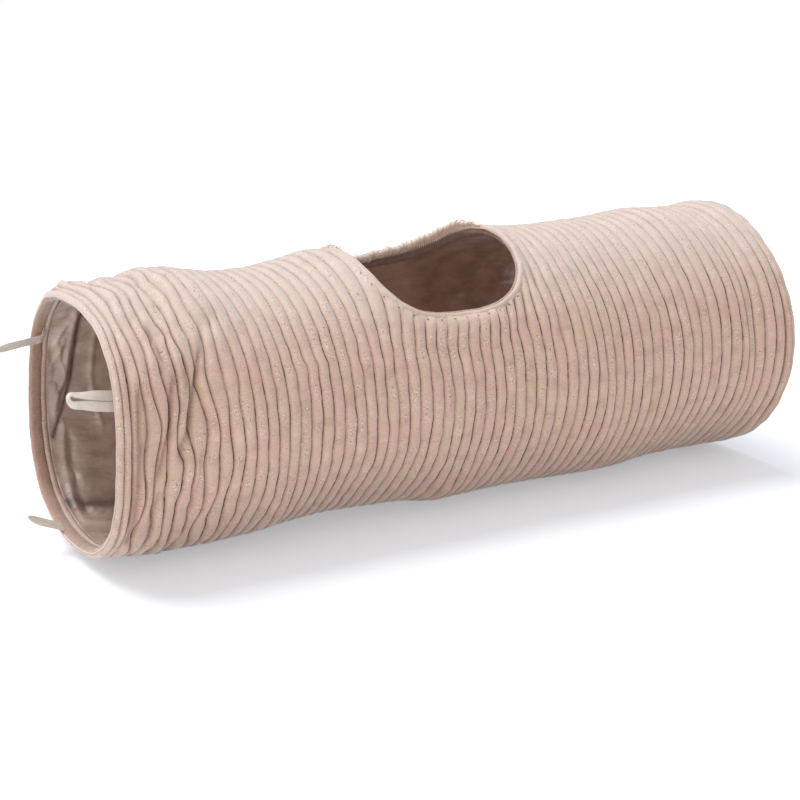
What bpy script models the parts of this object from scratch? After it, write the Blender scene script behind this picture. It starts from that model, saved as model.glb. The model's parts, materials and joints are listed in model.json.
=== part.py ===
"""Cat tunnel: a corduroy tube held open by a coil of spring wire, with a peephole in its top.

Metres, +Z up. X runs along the tunnel, from the near rim at -X to the far rim at +X, and the floor is z = 0. The origin
lies under the middle of the tunnel. Every ring of the tunnel is a polygon with its corners at the same angles, so that
cloth, tape and wire nest inside each other with an even gap. Angles start at the -Y side and pass over the top.

The cover, the lining, the wire and its casing are cut at the top of each turn of the wire. Each stretch is carried by
an empty at its near end, which slides along X when the tunnel is folded up.
"""

import math

import bmesh
import bpy
from mathutils import Matrix, Vector

# Tunnel
tunnel_length = 0.700
ridge_radius = 0.125
clearance = 0.0003
press_depth = 0.0005
corner_count = 25

# Corduroy cover
ribs_near = 7
ribs_per_turn = 16
ribs_far = 9
bay_count = 3
rib_height = 0.0022
cloth_thickness = 0.0016
sag_depth = 0.004
inner_rings_per_bay = 10

# Lining and facings
lining_thickness = 0.0008
facing_thickness = 0.0012
facing_width = 0.019

# Spring wire, hoops and casing
wire_radius = 0.00125
casing_wall = 0.0006
wire_sides = 6
sleeve_wall = 0.0005
sleeve_length = 0.014
sleeve_sides = 12

# Rim bindings
binding_thickness = 0.0008
binding_width = 0.0095
nose_steps = 4

# Peephole
hole_half_length = 0.073
hole_front_reach = 0.098
hole_back_reach = 0.083
hole_near_power = 3.4
hole_far_power = 2.7
hole_angle = math.radians(85)
hole_offset = 0.003
hole_corners = 48
hem_gap = 0.0005
hem_width = 0.003
hem_lip = 0.0006
hem_crown = 0.0008
cutter_margin = 0.025

# Tape loops
loop_angles = (math.radians(23.5), math.radians(152), math.radians(255))
loop_leans = (0.0, math.radians(8), math.radians(24))
tape_width = 0.0075
tape_thickness = 0.0013
strand_gap = 0.0007
loop_reach = 0.052
eye_radius = 0.0022
strand_steps = 7
eye_steps = 5
twist_end_share = 0.7
eye_start_share = 0.82

# Buttons
button_radius = 0.0065
button_thickness = 0.0028
button_rim_width = 0.0016
button_dish_depth = 0.0006
button_hole_radius = 0.0009
button_hole_spacing = 0.0044
button_bevel = 0.0004
button_sides = 24
button_hole_sides = 8

# Values that follow from those
rib_count = ribs_near + bay_count * ribs_per_turn + ribs_far
rib_pitch = tunnel_length / rib_count
wire_pitch = ribs_per_turn * rib_pitch
bay_starts = [(ribs_near + bay * ribs_per_turn) * rib_pitch for bay in range(bay_count + 1)]
axis_height = ridge_radius - rib_height - press_depth
groove_radius = ridge_radius - rib_height
hole_middle = (bay_starts[1] + bay_starts[2]) / 2 + hole_offset
top_angle = math.pi / 2
floor_angle = -math.pi / 2
full_turn = 2 * math.pi
crease_angle = math.radians(38)

casing_radius = wire_radius + clearance + casing_wall
helix_radius = groove_radius - cloth_thickness - clearance - casing_radius
lining_radius = helix_radius - casing_radius - clearance
lining_inner_radius = lining_radius - lining_thickness
hoop_radius = lining_radius + clearance + wire_radius
rim_cover_radius = hoop_radius + wire_radius + clearance + cloth_thickness
binding_outer_radius = rim_cover_radius + clearance + binding_thickness
facing_inner_radius = lining_radius - facing_thickness
binding_inner_radius = facing_inner_radius - clearance - binding_thickness
nose_radius = (binding_outer_radius - binding_inner_radius) / 2

sleeve_radius = wire_radius + clearance + sleeve_wall
hoop_along = binding_thickness + clearance + sleeve_radius
seam_along = hoop_along + sleeve_radius + clearance
facing_end = seam_along + facing_width
lead_along = hoop_along + 2 * wire_radius + clearance
rim_taper_start = rib_pitch
rim_taper_end = 2 * rib_pitch
sag_start = rim_taper_end
sag_full = bay_starts[0]

# The sag dies out near the floor, where the cloth lies flat: angles from the lowest point
flat_angle_share = 0.97
flat_half_angle = flat_angle_share * math.acos(axis_height / groove_radius)
sag_floor_start = math.radians(22)
sag_floor_full = math.radians(65)
corner_step = (full_turn - 2 * flat_half_angle) / (corner_count - 1)
corner_angles = [floor_angle + flat_half_angle + corner * corner_step for corner in range(corner_count)]

# Colours, roughness and metallic of the finishes
corduroy_finish = ((0.60, 0.42, 0.35, 1.0), 0.95, 0.0)
binding_finish = ((0.56, 0.39, 0.33, 1.0), 0.90, 0.0)
satin_finish = ((0.28, 0.20, 0.17, 1.0), 0.45, 0.0)
tape_finish = ((0.66, 0.53, 0.45, 1.0), 0.50, 0.0)
casing_finish = ((0.35, 0.27, 0.23, 1.0), 0.85, 0.0)
steel_finish = ((0.48, 0.48, 0.50, 1.0), 0.35, 1.0)
button_finish = ((0.45, 0.33, 0.27, 1.0), 0.40, 0.0)


def smooth_step(value, start, end):
    """0 up to start, 1 from end on, and a smooth rise between."""
    share = min(max((value - start) / (end - start), 0.0), 1.0)
    return share * share * (3 - 2 * share)


def mix(first, second, share):
    return first + (second - first) * share


def facet(angle):
    """Middle angle and half width of the polygon side that holds this angle."""
    turned = (angle - corner_angles[0]) % full_turn
    side = int(turned // corner_step)
    if side >= corner_count - 1:
        return floor_angle, flat_half_angle
    return corner_angles[side] + corner_step / 2, corner_step / 2


def facet_reach(radius, angle):
    """Distance from the axis to a polygon whose corners lie at this radius, at any angle."""
    middle, half = facet(angle)
    return radius * math.cos(half) / math.cos(angle - middle)


def seat_distance(radius, angle, half_width):
    """How far out a flat piece of this half width can lie inside a polygon ring before it meets a side."""
    spread = math.atan(half_width / radius)
    turns = (-spread, -spread / 2, 0.0, spread / 2, spread)
    return min(facet_reach(radius, angle + turn) * math.cos(turn) for turn in turns)


def around(along, radius, angle):
    """A point at a distance along the tunnel from its near rim, a radius and an angle."""
    return Vector((along, -radius * math.cos(angle), radius * math.sin(angle)))


def rim_share(along):
    """1 at either rim and 0 past the taper that follows it."""
    return 1 - smooth_step(min(along, tunnel_length - along), rim_taper_start, rim_taper_end)


def sag_share(along, angle):
    """0 over the wire, the rims and the floor strip, and 1 halfway between two turns of the wire."""
    turns = (along - bay_starts[0]) / wire_pitch - (top_angle - angle) / full_turn
    from_wire = (1 - math.cos(full_turn * turns)) / 2
    from_rim = smooth_step(min(along, tunnel_length - along), sag_start, sag_full)
    off_bottom = abs((angle - floor_angle + math.pi) % full_turn - math.pi)
    return from_wire * from_rim * smooth_step(off_bottom, sag_floor_start, sag_floor_full)


def crest_radius(along, angle):
    """Radius over the top of a rib."""
    rim_crest = rim_cover_radius + rib_height
    return mix(ridge_radius, rim_crest, rim_share(along)) - sag_depth * sag_share(along, angle)


def groove_radius_at(along, angle):
    return crest_radius(along, angle) - rib_height


def cover_inner_radius(along, angle):
    return groove_radius_at(along, angle) - cloth_thickness


def ring(along, radius_at):
    """Corners of one ring of the tunnel, pressed flat where they would pass through the floor."""
    corners = []
    for angle in corner_angles:
        point = around(along, radius_at(along, angle), angle)
        point.z = max(point.z, -axis_height)
        corners.append(point)
    return corners


def plain_ring(along, radius):
    return [around(along, radius, angle) for angle in corner_angles]


def principled(name, finish):
    colour, roughness, metallic = finish
    material = bpy.data.materials.new(name)
    material.use_nodes = True
    shader = material.node_tree.nodes["Principled BSDF"]
    shader.inputs["Base Color"].default_value = colour
    shader.inputs["Roughness"].default_value = roughness
    shader.inputs["Metallic"].default_value = metallic
    material.diffuse_color = colour
    return material


def add_object(name, mesh, finish, body):
    """One named piece with its own material, carried by its body's empty."""
    mesh.materials.append(principled(name, finish))
    piece = bpy.data.objects.new(name, mesh)
    piece.parent = body
    bpy.context.scene.collection.objects.link(piece)
    return piece


def shade(mesh):
    """Smooth shading with the sharp edges of folds and cut ends kept."""
    mesh.shade_smooth()
    mesh.set_sharp_from_angle(angle=crease_angle)


def add_body(name, along):
    """The empty that carries one body of the tunnel, on the tunnel's axis."""
    empty = bpy.data.objects.new(name, None)
    empty.location = (along - tunnel_length / 2, 0.0, axis_height)
    bpy.context.scene.collection.objects.link(empty)
    empty["along"] = along
    return empty


def skin(name, rings, finish, body, looped=True):
    """A closed body through rings of equal length: the last ring joins the first, or both ends are capped."""
    shift = Vector((body["along"], 0.0, 0.0))
    shell = bmesh.new()
    rows = [[shell.verts.new(point - shift) for point in points] for points in rings]
    followers = rows[1:] + rows[:1] if looped else rows[1:]
    for row, follower in zip(rows, followers):
        for here in range(len(row)):
            there = (here + 1) % len(row)
            shell.faces.new((row[here], row[there], follower[there], follower[here]))
    if not looped:
        shell.faces.new(rows[0])
        shell.faces.new(rows[-1])
    bmesh.ops.recalc_face_normals(shell, faces=shell.faces)
    mesh = bpy.data.meshes.new(name)
    shell.to_mesh(mesh)
    shell.free()
    shade(mesh)
    return add_object(name, mesh, finish, body)


def add_cover(name, start, end, first_rib, last_rib, inner_count, body):
    """A stretch of corduroy tube: ribs outside, a bore that follows the sag inside."""
    ribs = range(first_rib, last_rib)
    edges = [max(start, first_rib * rib_pitch)] + [(rib + 1) * rib_pitch for rib in ribs]
    edges[-1] = min(end, edges[-1])
    rings = [ring(start, groove_radius_at)] if start < edges[0] else []
    for rib, edge in zip(ribs, edges):
        rings.append(ring(edge, groove_radius_at))
        rings.append(ring((rib + 0.5) * rib_pitch, crest_radius))
    rings.append(ring(edges[-1], groove_radius_at))
    if edges[-1] < end:
        rings.append(ring(end, groove_radius_at))
    for step in range(inner_count + 1):
        rings.append(ring(mix(end, start, step / inner_count), cover_inner_radius))
    return skin(name, rings, corduroy_finish, body)


def add_tube(name, start, end, outer, thickness, finish, body):
    """A plain stretch of cloth tube."""
    inner = outer - thickness
    profile = ((start, outer), (end, outer), (end, inner), (start, inner))
    return skin(name, [plain_ring(along, radius) for along, radius in profile], finish, body)


def wire_along(angle):
    """Where along the tunnel the wire is at an angle, counted down from the top of its first full turn."""
    return bay_starts[0] + wire_pitch * (top_angle - angle) / full_turn


def wire_angle(along):
    return top_angle - full_turn * (along - bay_starts[0]) / wire_pitch


def wire_frame(angle, shift):
    """Centre, outward direction and sideways direction of the wire at an angle, moved along the wire by shift."""
    along = wire_along(angle)
    radius = facet_reach(mix(helix_radius, hoop_radius, rim_share(along)), angle)
    outward = around(0.0, 1.0, angle)
    forward = Vector((wire_pitch / full_turn, -radius * math.sin(angle), -radius * math.cos(angle))).normalized()
    return around(along, radius, angle) + forward * shift, outward, forward.cross(outward)


def wire_path(first_angle, last_angle):
    """Angles of the wire from one end to the other, with a stop at every corner of the rings between."""
    stops = [first_angle]
    turn = math.ceil((first_angle - corner_angles[0]) / full_turn)
    while turn * full_turn + corner_angles[-1] > last_angle:
        stops += [angle + turn * full_turn for angle in reversed(corner_angles)]
        turn -= 1
    hair = corner_step / 100
    return [first_angle] + [stop for stop in stops if last_angle + hair < stop < first_angle - hair] + [last_angle]


def section(centre, outward, sideways, radius):
    """One ring round the wire."""
    turns = [full_turn * side / wire_sides for side in range(wire_sides)]
    return [centre + outward * radius * math.cos(turn) + sideways * radius * math.sin(turn) for turn in turns]


def wire_sections(first_angle, last_angle, radius):
    """Rings round the wire, drawn back half a clearance at both ends."""
    path = wire_path(first_angle, last_angle)
    shifts = [clearance / 2] + [0.0] * (len(path) - 2) + [-clearance / 2]
    return [section(*wire_frame(angle, shift), radius) for angle, shift in zip(path, shifts)]


def add_wire(name, first_angle, last_angle, body):
    return skin(name, wire_sections(first_angle, last_angle, wire_radius), steel_finish, body, looped=False)


def add_casing(name, first_angle, last_angle, body):
    """The tape sleeve round a stretch of wire: an outer skin out and a bore back."""
    outside = wire_sections(first_angle, last_angle, casing_radius)
    inside = wire_sections(first_angle, last_angle, wire_radius + clearance)
    return skin(name, outside + inside[::-1], casing_finish, body)


def add_hoop(name, along, body):
    """The closed wire ring in a rim."""
    rings = []
    for angle in corner_angles:
        rings.append(section(around(along, hoop_radius, angle), around(0.0, 1.0, angle), Vector((1, 0, 0)), wire_radius))
    return skin(name, rings, steel_finish, body)


def add_sleeve(name, along, angle, body):
    """A crimped sleeve on a hoop, straight along one side of its polygon."""
    tube = bmesh.new()
    bmesh.ops.create_cone(
        tube,
        cap_ends=False,
        segments=sleeve_sides,
        radius1=sleeve_radius,
        radius2=sleeve_radius,
        depth=sleeve_length,
    )
    mesh = bpy.data.meshes.new(name)
    tube.to_mesh(mesh)
    tube.free()
    shade(mesh)
    sleeve = add_object(name, mesh, steel_finish, body)
    sleeve.location = around(along - body["along"], facet_reach(hoop_radius, angle), angle)
    sleeve.rotation_euler.x = -angle
    wall = sleeve.modifiers.new("wall", "SOLIDIFY")
    wall.thickness = sleeve_wall
    wall.offset = -1
    return sleeve


def binding_profile():
    """Outline of a rim binding, as distances from the rim plane and radii: a folded band with a round nose."""
    middle = (binding_outer_radius + binding_inner_radius) / 2
    going = list(range(nose_steps + 1))
    profile = []
    for radius, side, turns in ((nose_radius, 1, going), (nose_radius - binding_thickness, -1, going[::-1])):
        profile.append((binding_width, middle + radius * side))
        for turn in turns:
            angle = math.pi * turn / nose_steps
            profile.append((nose_radius - radius * math.sin(angle), middle + radius * math.cos(angle)))
        profile.append((binding_width, middle - radius * side))
    return profile


def add_binding(name, mirrored, body):
    rings = []
    for depth, radius in binding_profile():
        rings.append(plain_ring(tunnel_length - depth if mirrored else depth, radius))
    return skin(name, rings, binding_finish, body)


def hole_point(turn, radius, inset):
    """A point of the peephole's outline, at a radius from the tunnel's axis and an inset from the cut edge.

    The outline is an oval with squared corners: squarer towards the near rim, and longer on the front.
    """
    power = hole_near_power if math.cos(turn) < 0 else hole_far_power
    girth_reach = hole_front_reach if math.sin(turn) < 0 else hole_back_reach
    share = (abs(math.cos(turn)) ** power + abs(math.sin(turn)) ** power) ** (-1 / power)
    along = hole_middle + (hole_half_length - inset) * share * math.cos(turn)
    angle = hole_angle + (girth_reach - inset) / ridge_radius * share * math.sin(turn)
    return around(along, facet_reach(radius, angle), angle), along, angle


def add_hole_cutter(body):
    """The body that cuts the peephole through the cover and the lining, its walls square to the cloth."""
    shift = Vector((body["along"], 0.0, 0.0))
    inner, outer = lining_inner_radius - hem_lip, ridge_radius + hem_lip
    cutter = bmesh.new()
    rows, centres = [], []
    for radius in (inner - cutter_margin, inner, outer, outer + cutter_margin):
        turns = [full_turn * corner / hole_corners for corner in range(hole_corners)]
        rows.append([cutter.verts.new(hole_point(turn, radius, 0.0)[0] - shift) for turn in turns])
    for radius in (inner - cutter_margin, outer + cutter_margin):
        centres.append(cutter.verts.new(around(hole_middle, radius, hole_angle) - shift))
    for here in range(hole_corners):
        there = (here + 1) % hole_corners
        for row, centre in ((rows[0], centres[0]), (rows[-1], centres[1])):
            cutter.faces.new((row[here], row[there], centre))
        for row, follower in zip(rows, rows[1:]):
            cutter.faces.new((row[here], row[there], follower[there], follower[here]))
    bmesh.ops.recalc_face_normals(cutter, faces=cutter.faces)
    mesh = bpy.data.meshes.new("peephole_cutter")
    cutter.to_mesh(mesh)
    cutter.free()
    guide = bpy.data.objects.new("peephole_cutter", mesh)
    guide.parent = body
    guide.hide_render = True
    guide.display_type = "WIRE"
    bpy.context.scene.collection.objects.link(guide)
    return guide


def cut(piece, cutter):
    hole = piece.modifiers.new("peephole", "BOOLEAN")
    hole.operation = "DIFFERENCE"
    hole.solver = "EXACT"
    hole.object = cutter


def add_hem(body):
    """The folded edge round the peephole, a little proud of the cover outside and of the lining inside."""
    rings = []
    inner = lining_inner_radius - hem_lip
    near_edge, far_edge = hem_gap, hem_gap + hem_width
    crown = (near_edge + far_edge) / 2
    for corner in range(hole_corners):
        turn = full_turn * corner / hole_corners
        _, along, angle = hole_point(turn, ridge_radius, near_edge)
        outer = crest_radius(along, angle) + hem_lip
        corners = (
            (outer, near_edge),
            (outer + hem_crown, crown),
            (outer, far_edge),
            (inner, far_edge),
            (inner - hem_crown, crown),
            (inner, near_edge),
        )
        rings.append([hole_point(turn, radius, inset)[0] for radius, inset in corners])
    return skin("peephole_hem", rings, binding_finish, body)


def strand_point(share):
    """Distance out, sideways offset and twist of a loop's first strand, at a share of its length."""
    out = (loop_reach - eye_radius) * share
    twist = math.pi / 2 * smooth_step(out, binding_width, loop_reach * twist_end_share)
    lying = tape_width / 2 * math.cos(twist) + tape_thickness / 2 * math.sin(twist) + strand_gap / 2
    eye = smooth_step(share, eye_start_share, 1.0)
    return out, mix(lying, eye_radius, eye), twist


def tape_section(out, side, heading, normal):
    """Corners of the tape at a point of its path, in the loop's own frame: out, sideways and up."""
    across = heading.cross(normal)
    centre = Vector((out, side, 0.0))
    corners = ((1, 1), (1, -1), (-1, -1), (-1, 1))
    return [centre + across * tape_width / 2 * x + normal * tape_thickness / 2 * y for x, y in corners]


def loop_sections():
    """Sections of a tape loop: out along one strand as it turns on edge, round the eye and back."""
    going, coming = [], []
    for step in range(strand_steps + 1):
        share = step / strand_steps
        out, side, twist = strand_point(share)
        for sections, sign in ((going, 1), (coming, -1)):
            normal = Vector((0.0, sign * math.sin(twist), math.cos(twist)))
            sections.append(tape_section(out, sign * side, Vector((sign, 0.0, 0.0)), normal))
    eye = []
    for step in range(1, eye_steps):
        turn = math.pi * step / eye_steps
        normal = Vector((math.sin(turn), math.cos(turn), 0.0))
        heading = Vector((math.cos(turn), -math.sin(turn), 0.0))
        out = loop_reach - eye_radius + eye_radius * math.sin(turn)
        eye.append(tape_section(out, eye_radius * math.cos(turn), heading, normal))
    return going + eye + coming[::-1]


def add_loop(name, angle, lean, near_end):
    """A tape loop, hinged where it leaves the seam behind the near rim binding, leaning in by its own angle."""
    root_half_width = tape_width + strand_gap / 2
    seat = seat_distance(binding_inner_radius, angle, root_half_width)
    hinge = add_body(name + "_hinge", binding_width + clearance)
    hinge.parent = near_end
    hinge.location = around(binding_width + clearance, seat - clearance - tape_thickness / 2, angle)
    along, outward = Vector((1.0, 0.0, 0.0)), around(0.0, 1.0, angle)
    ahead = -along * math.cos(lean) - outward * math.sin(lean)
    face = outward * math.cos(lean) - along * math.sin(lean)
    axes = Matrix((ahead, face.cross(ahead), face)).transposed()
    hinge.rotation_euler = axes.to_euler()
    hinge["along"] = 0.0
    return skin(name, loop_sections(), tape_finish, hinge, looped=False)


def button_mesh(name):
    """A flat sewing button with a raised rim, before its two holes are cut."""
    dish_radius = button_radius - button_rim_width
    profile = (
        (0.0, 0.0),
        (button_radius - button_bevel, 0.0),
        (button_radius, button_bevel),
        (button_radius, button_thickness - button_bevel),
        (button_radius - button_bevel, button_thickness),
        (dish_radius, button_thickness),
        (dish_radius - button_dish_depth, button_thickness - button_dish_depth),
        (0.0, button_thickness - button_dish_depth),
    )
    lathe = bmesh.new()
    verts = [lathe.verts.new((radius, 0.0, height)) for radius, height in profile]
    edges = [lathe.edges.new(pair) for pair in zip(verts, verts[1:])]
    bmesh.ops.spin(lathe, geom=verts + edges, axis=(0, 0, 1), cent=(0, 0, 0), steps=button_sides, angle=full_turn)
    bmesh.ops.remove_doubles(lathe, verts=lathe.verts, dist=clearance / 100)
    bmesh.ops.recalc_face_normals(lathe, faces=lathe.faces)
    mesh = bpy.data.meshes.new(name)
    lathe.to_mesh(mesh)
    lathe.free()
    shade(mesh)
    return mesh


def add_button(name, angle, body):
    """A button sewn inside the far facing, opposite a loop."""
    along = tunnel_length - binding_width - clearance - button_radius
    seat = seat_distance(facing_inner_radius, angle, button_radius) - clearance
    button = add_object(name, button_mesh(name), button_finish, body)
    button.location = around(along - body["along"], seat, angle)
    inward = -around(0.0, 1.0, angle)
    ahead = Vector((1.0, 0.0, 0.0))
    button.rotation_euler = Matrix((ahead, inward.cross(ahead), inward)).transposed().to_euler()
    for side in (-1, 1):
        drill = bmesh.new()
        bmesh.ops.create_cone(
            drill,
            cap_ends=True,
            segments=button_hole_sides,
            radius1=button_hole_radius,
            radius2=button_hole_radius,
            depth=2 * button_thickness,
            matrix=Matrix.Translation((side * button_hole_spacing / 2, 0.0, button_thickness / 2)),
        )
        mesh = bpy.data.meshes.new(name + "_drill")
        drill.to_mesh(mesh)
        drill.free()
        guide = bpy.data.objects.new(mesh.name, mesh)
        guide.parent = button
        guide.hide_render = True
        guide.display_type = "WIRE"
        bpy.context.scene.collection.objects.link(guide)
        cut(button, guide)
    return button


def build_near_end(body):
    """The near rim, the first stretch of cloth and the wire's lead from the hoop to its first full turn."""
    cloth_end = bay_starts[0] - clearance / 2
    lead_angle = wire_angle(lead_along)
    casing_angle = wire_angle(rim_taper_end + casing_radius)
    add_cover("near_cover", seam_along, cloth_end, 1, ribs_near, inner_rings_per_bay // 2, body)
    add_tube("near_lining", facing_end + clearance, cloth_end, lining_radius, lining_thickness, satin_finish, body)
    add_tube("near_facing", seam_along, facing_end, lining_radius, facing_thickness, corduroy_finish, body)
    add_binding("near_rim_binding", False, body)
    add_hoop("near_hoop", hoop_along, body)
    add_sleeve("near_hoop_sleeve", hoop_along, facet(lead_angle + corner_step)[0], body)
    add_wire("spring_lead_in", lead_angle, top_angle, body)
    add_casing("casing_lead_in", casing_angle, top_angle, body)


def build_bay(bay, body):
    """One full turn of the wire with its casing, cover and lining."""
    start = bay_starts[bay - 1] + clearance / 2
    end = bay_starts[bay] - clearance / 2
    first_rib = ribs_near + (bay - 1) * ribs_per_turn
    first_angle = top_angle - (bay - 1) * full_turn
    last_rib = first_rib + ribs_per_turn
    cover = add_cover(f"cover_bay_{bay}", start, end, first_rib, last_rib, inner_rings_per_bay, body)
    lining = add_tube(f"lining_bay_{bay}", start, end, lining_radius, lining_thickness, satin_finish, body)
    add_wire(f"spring_turn_{bay}", first_angle, first_angle - full_turn, body)
    add_casing(f"casing_turn_{bay}", first_angle, first_angle - full_turn, body)
    return cover, lining


def build_peephole(cover, lining, body):
    cutter = add_hole_cutter(body)
    cut(cover, cutter)
    cut(lining, cutter)
    add_hem(body)


def build_far_stretch(body):
    """The last stretch of cloth and the wire's lead to the far hoop."""
    start = bay_starts[-1] + clearance / 2
    cloth_end = tunnel_length - seam_along
    first_angle = top_angle - bay_count * full_turn
    casing_angle = wire_angle(tunnel_length - rim_taper_end - casing_radius)
    first_rib = rib_count - ribs_far
    add_cover("far_cover", start, cloth_end, first_rib, rib_count - 1, inner_rings_per_bay // 2, body)
    lining_end = tunnel_length - facing_end - clearance
    add_tube("far_lining", start, lining_end, lining_radius, lining_thickness, satin_finish, body)
    add_wire("spring_lead_out", first_angle, wire_angle(tunnel_length - lead_along), body)
    add_casing("casing_lead_out", first_angle, casing_angle, body)


def build_far_end(body):
    """The far rim, with the buttons that the loops hook on."""
    hoop = tunnel_length - hoop_along
    lead_angle = wire_angle(tunnel_length - lead_along)
    facing_start = tunnel_length - facing_end
    facing_stop = tunnel_length - seam_along
    add_tube("far_facing", facing_start, facing_stop, lining_radius, facing_thickness, corduroy_finish, body)
    add_binding("far_rim_binding", True, body)
    add_hoop("far_hoop", hoop, body)
    add_sleeve("far_hoop_sleeve", hoop, facet(lead_angle - corner_step)[0], body)
    for letter, angle in zip("abc", loop_angles):
        add_button(f"button_{letter}", angle, body)


def build_tunnel():
    near_end = add_body("near_end", 0.0)
    build_near_end(near_end)
    for letter, angle, lean in zip("abc", loop_angles, loop_leans):
        add_loop(f"loop_{letter}", angle, lean, near_end)
    for bay in range(1, bay_count + 1):
        body = add_body(f"bay_{bay}", bay_starts[bay - 1])
        cover, lining = build_bay(bay, body)
        if bay == 2:
            build_peephole(cover, lining, body)
    build_far_stretch(add_body("bay_4", bay_starts[-1]))
    build_far_end(add_body("far_end", tunnel_length))


for leftover in list(bpy.data.objects):
    bpy.data.objects.remove(leftover)
build_tunnel()
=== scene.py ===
"""Looks of the cat tunnel: corduroy, satin, tape and thread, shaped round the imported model.

Metres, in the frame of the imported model: X runs along the tunnel, the floor is z = 0 and the tunnel's axis
lies at TunnelForm.axis_height. A place on the cloth is given by its distance along the tunnel from the near
rim and by its angle, which starts at the camera's side (-Y) and passes over the top. Every cloth piece starts
as a flat grid, cut to its real size, which is then rolled round the axis; its UV map keeps the flat cut's
places in metres.
"""

import json
import logging
import math
from dataclasses import dataclass, field
from enum import Enum
from math import radians

import bmesh
import bpy
import numpy as np
from mathutils import Matrix, Vector

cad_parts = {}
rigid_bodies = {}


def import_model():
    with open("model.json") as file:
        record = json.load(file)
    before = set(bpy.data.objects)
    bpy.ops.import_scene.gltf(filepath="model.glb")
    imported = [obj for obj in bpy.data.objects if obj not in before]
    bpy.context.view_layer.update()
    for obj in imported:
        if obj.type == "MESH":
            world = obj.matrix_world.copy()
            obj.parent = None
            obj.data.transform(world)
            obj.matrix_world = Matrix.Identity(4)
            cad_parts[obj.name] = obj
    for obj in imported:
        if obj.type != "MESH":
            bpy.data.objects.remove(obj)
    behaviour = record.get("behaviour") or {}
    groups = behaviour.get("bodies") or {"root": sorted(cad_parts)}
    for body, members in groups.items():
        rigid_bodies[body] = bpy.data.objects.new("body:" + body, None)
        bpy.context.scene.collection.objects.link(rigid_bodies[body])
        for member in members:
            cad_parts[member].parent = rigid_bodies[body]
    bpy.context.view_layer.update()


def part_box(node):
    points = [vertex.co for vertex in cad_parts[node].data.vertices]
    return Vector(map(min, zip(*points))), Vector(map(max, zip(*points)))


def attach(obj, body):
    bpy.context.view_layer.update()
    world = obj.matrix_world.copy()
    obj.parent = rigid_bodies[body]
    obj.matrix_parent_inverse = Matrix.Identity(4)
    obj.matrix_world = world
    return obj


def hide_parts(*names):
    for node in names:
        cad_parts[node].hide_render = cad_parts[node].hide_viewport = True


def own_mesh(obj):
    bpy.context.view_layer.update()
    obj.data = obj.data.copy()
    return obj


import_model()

MM = 0.001
FULL_TURN = 2 * math.pi
CUT_MAP = "Cut"
RIBBING = "ribbing"
# The number at the vertices that holds the creases' painted shade and painted light
PAINTED_CREASE_SHADE = "folded"
WHITE = (1.0, 1.0, 1.0, 1.0)
Array = np.ndarray
Piece = bpy.types.Object
Socket = bpy.types.NodeSocket
Colour = tuple[float, float, float, float]
Steps = tuple[tuple[float, float], ...]
log = logging.getLogger("cat_tunnel")


def ramp(value: Array, start: float, end: float) -> Array:
    """A smooth rise.

    Args:
        value: where to read it.
        start: the value up to which it is 0.
        end: the value from which it is 1.

    Returns:
        The rise at each value.
    """
    share = np.clip((np.asarray(value, float) - start) / (end - start), 0.0, 1.0)
    return share * share * (3 - 2 * share)


def half_turn(angle: Array) -> Array:
    """Angles brought to within half a turn of 0, in radians."""
    return (angle + math.pi) % FULL_TURN - math.pi


def run_along(line: Array) -> Array:
    """How far each point of a line lies from its first, measured along the line."""
    return np.r_[0.0, np.cumsum(np.linalg.norm(np.diff(line, axis=0), axis=1))]


def signed_draw(draw: np.random.Generator, low: int, high: int) -> int:
    """A random whole number from low to high - 1, or its negative."""
    return int(draw.integers(low, high)) * (1 if draw.random() < 0.5 else -1)


@dataclass(frozen=True)
class Fold:
    """A soft rise, hollow or sideways pull of the cloth round one place.

    Lengths are in millimetres and angles in degrees. It runs round the tunnel, as a rib does, turned by lean.
    """

    along: float
    angle: float
    width: float
    reach: float
    lean: float = 0.0
    lift: float = 0.0
    push: float = 0.0

    def weight(self, along: Array, angle: Array, radius: float) -> Array:
        """How strongly the fold acts at each place, from 0 to 1.

        Args:
            along: distances from the near rim.
            angle: angles.
            radius: the cloth's distance from the axis.

        Returns:
            The weights.
        """
        across = along / MM - self.along
        turned = (np.degrees(angle) - self.angle + 180.0) % 360.0 - 180.0
        run = np.radians(turned) * radius / MM
        lean = radians(self.lean)
        side = across * math.cos(lean) + run * math.sin(lean)
        ahead = run * math.cos(lean) - across * math.sin(lean)
        return np.exp(-((side / self.width) ** 2) - (ahead / self.reach) ** 2)


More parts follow.
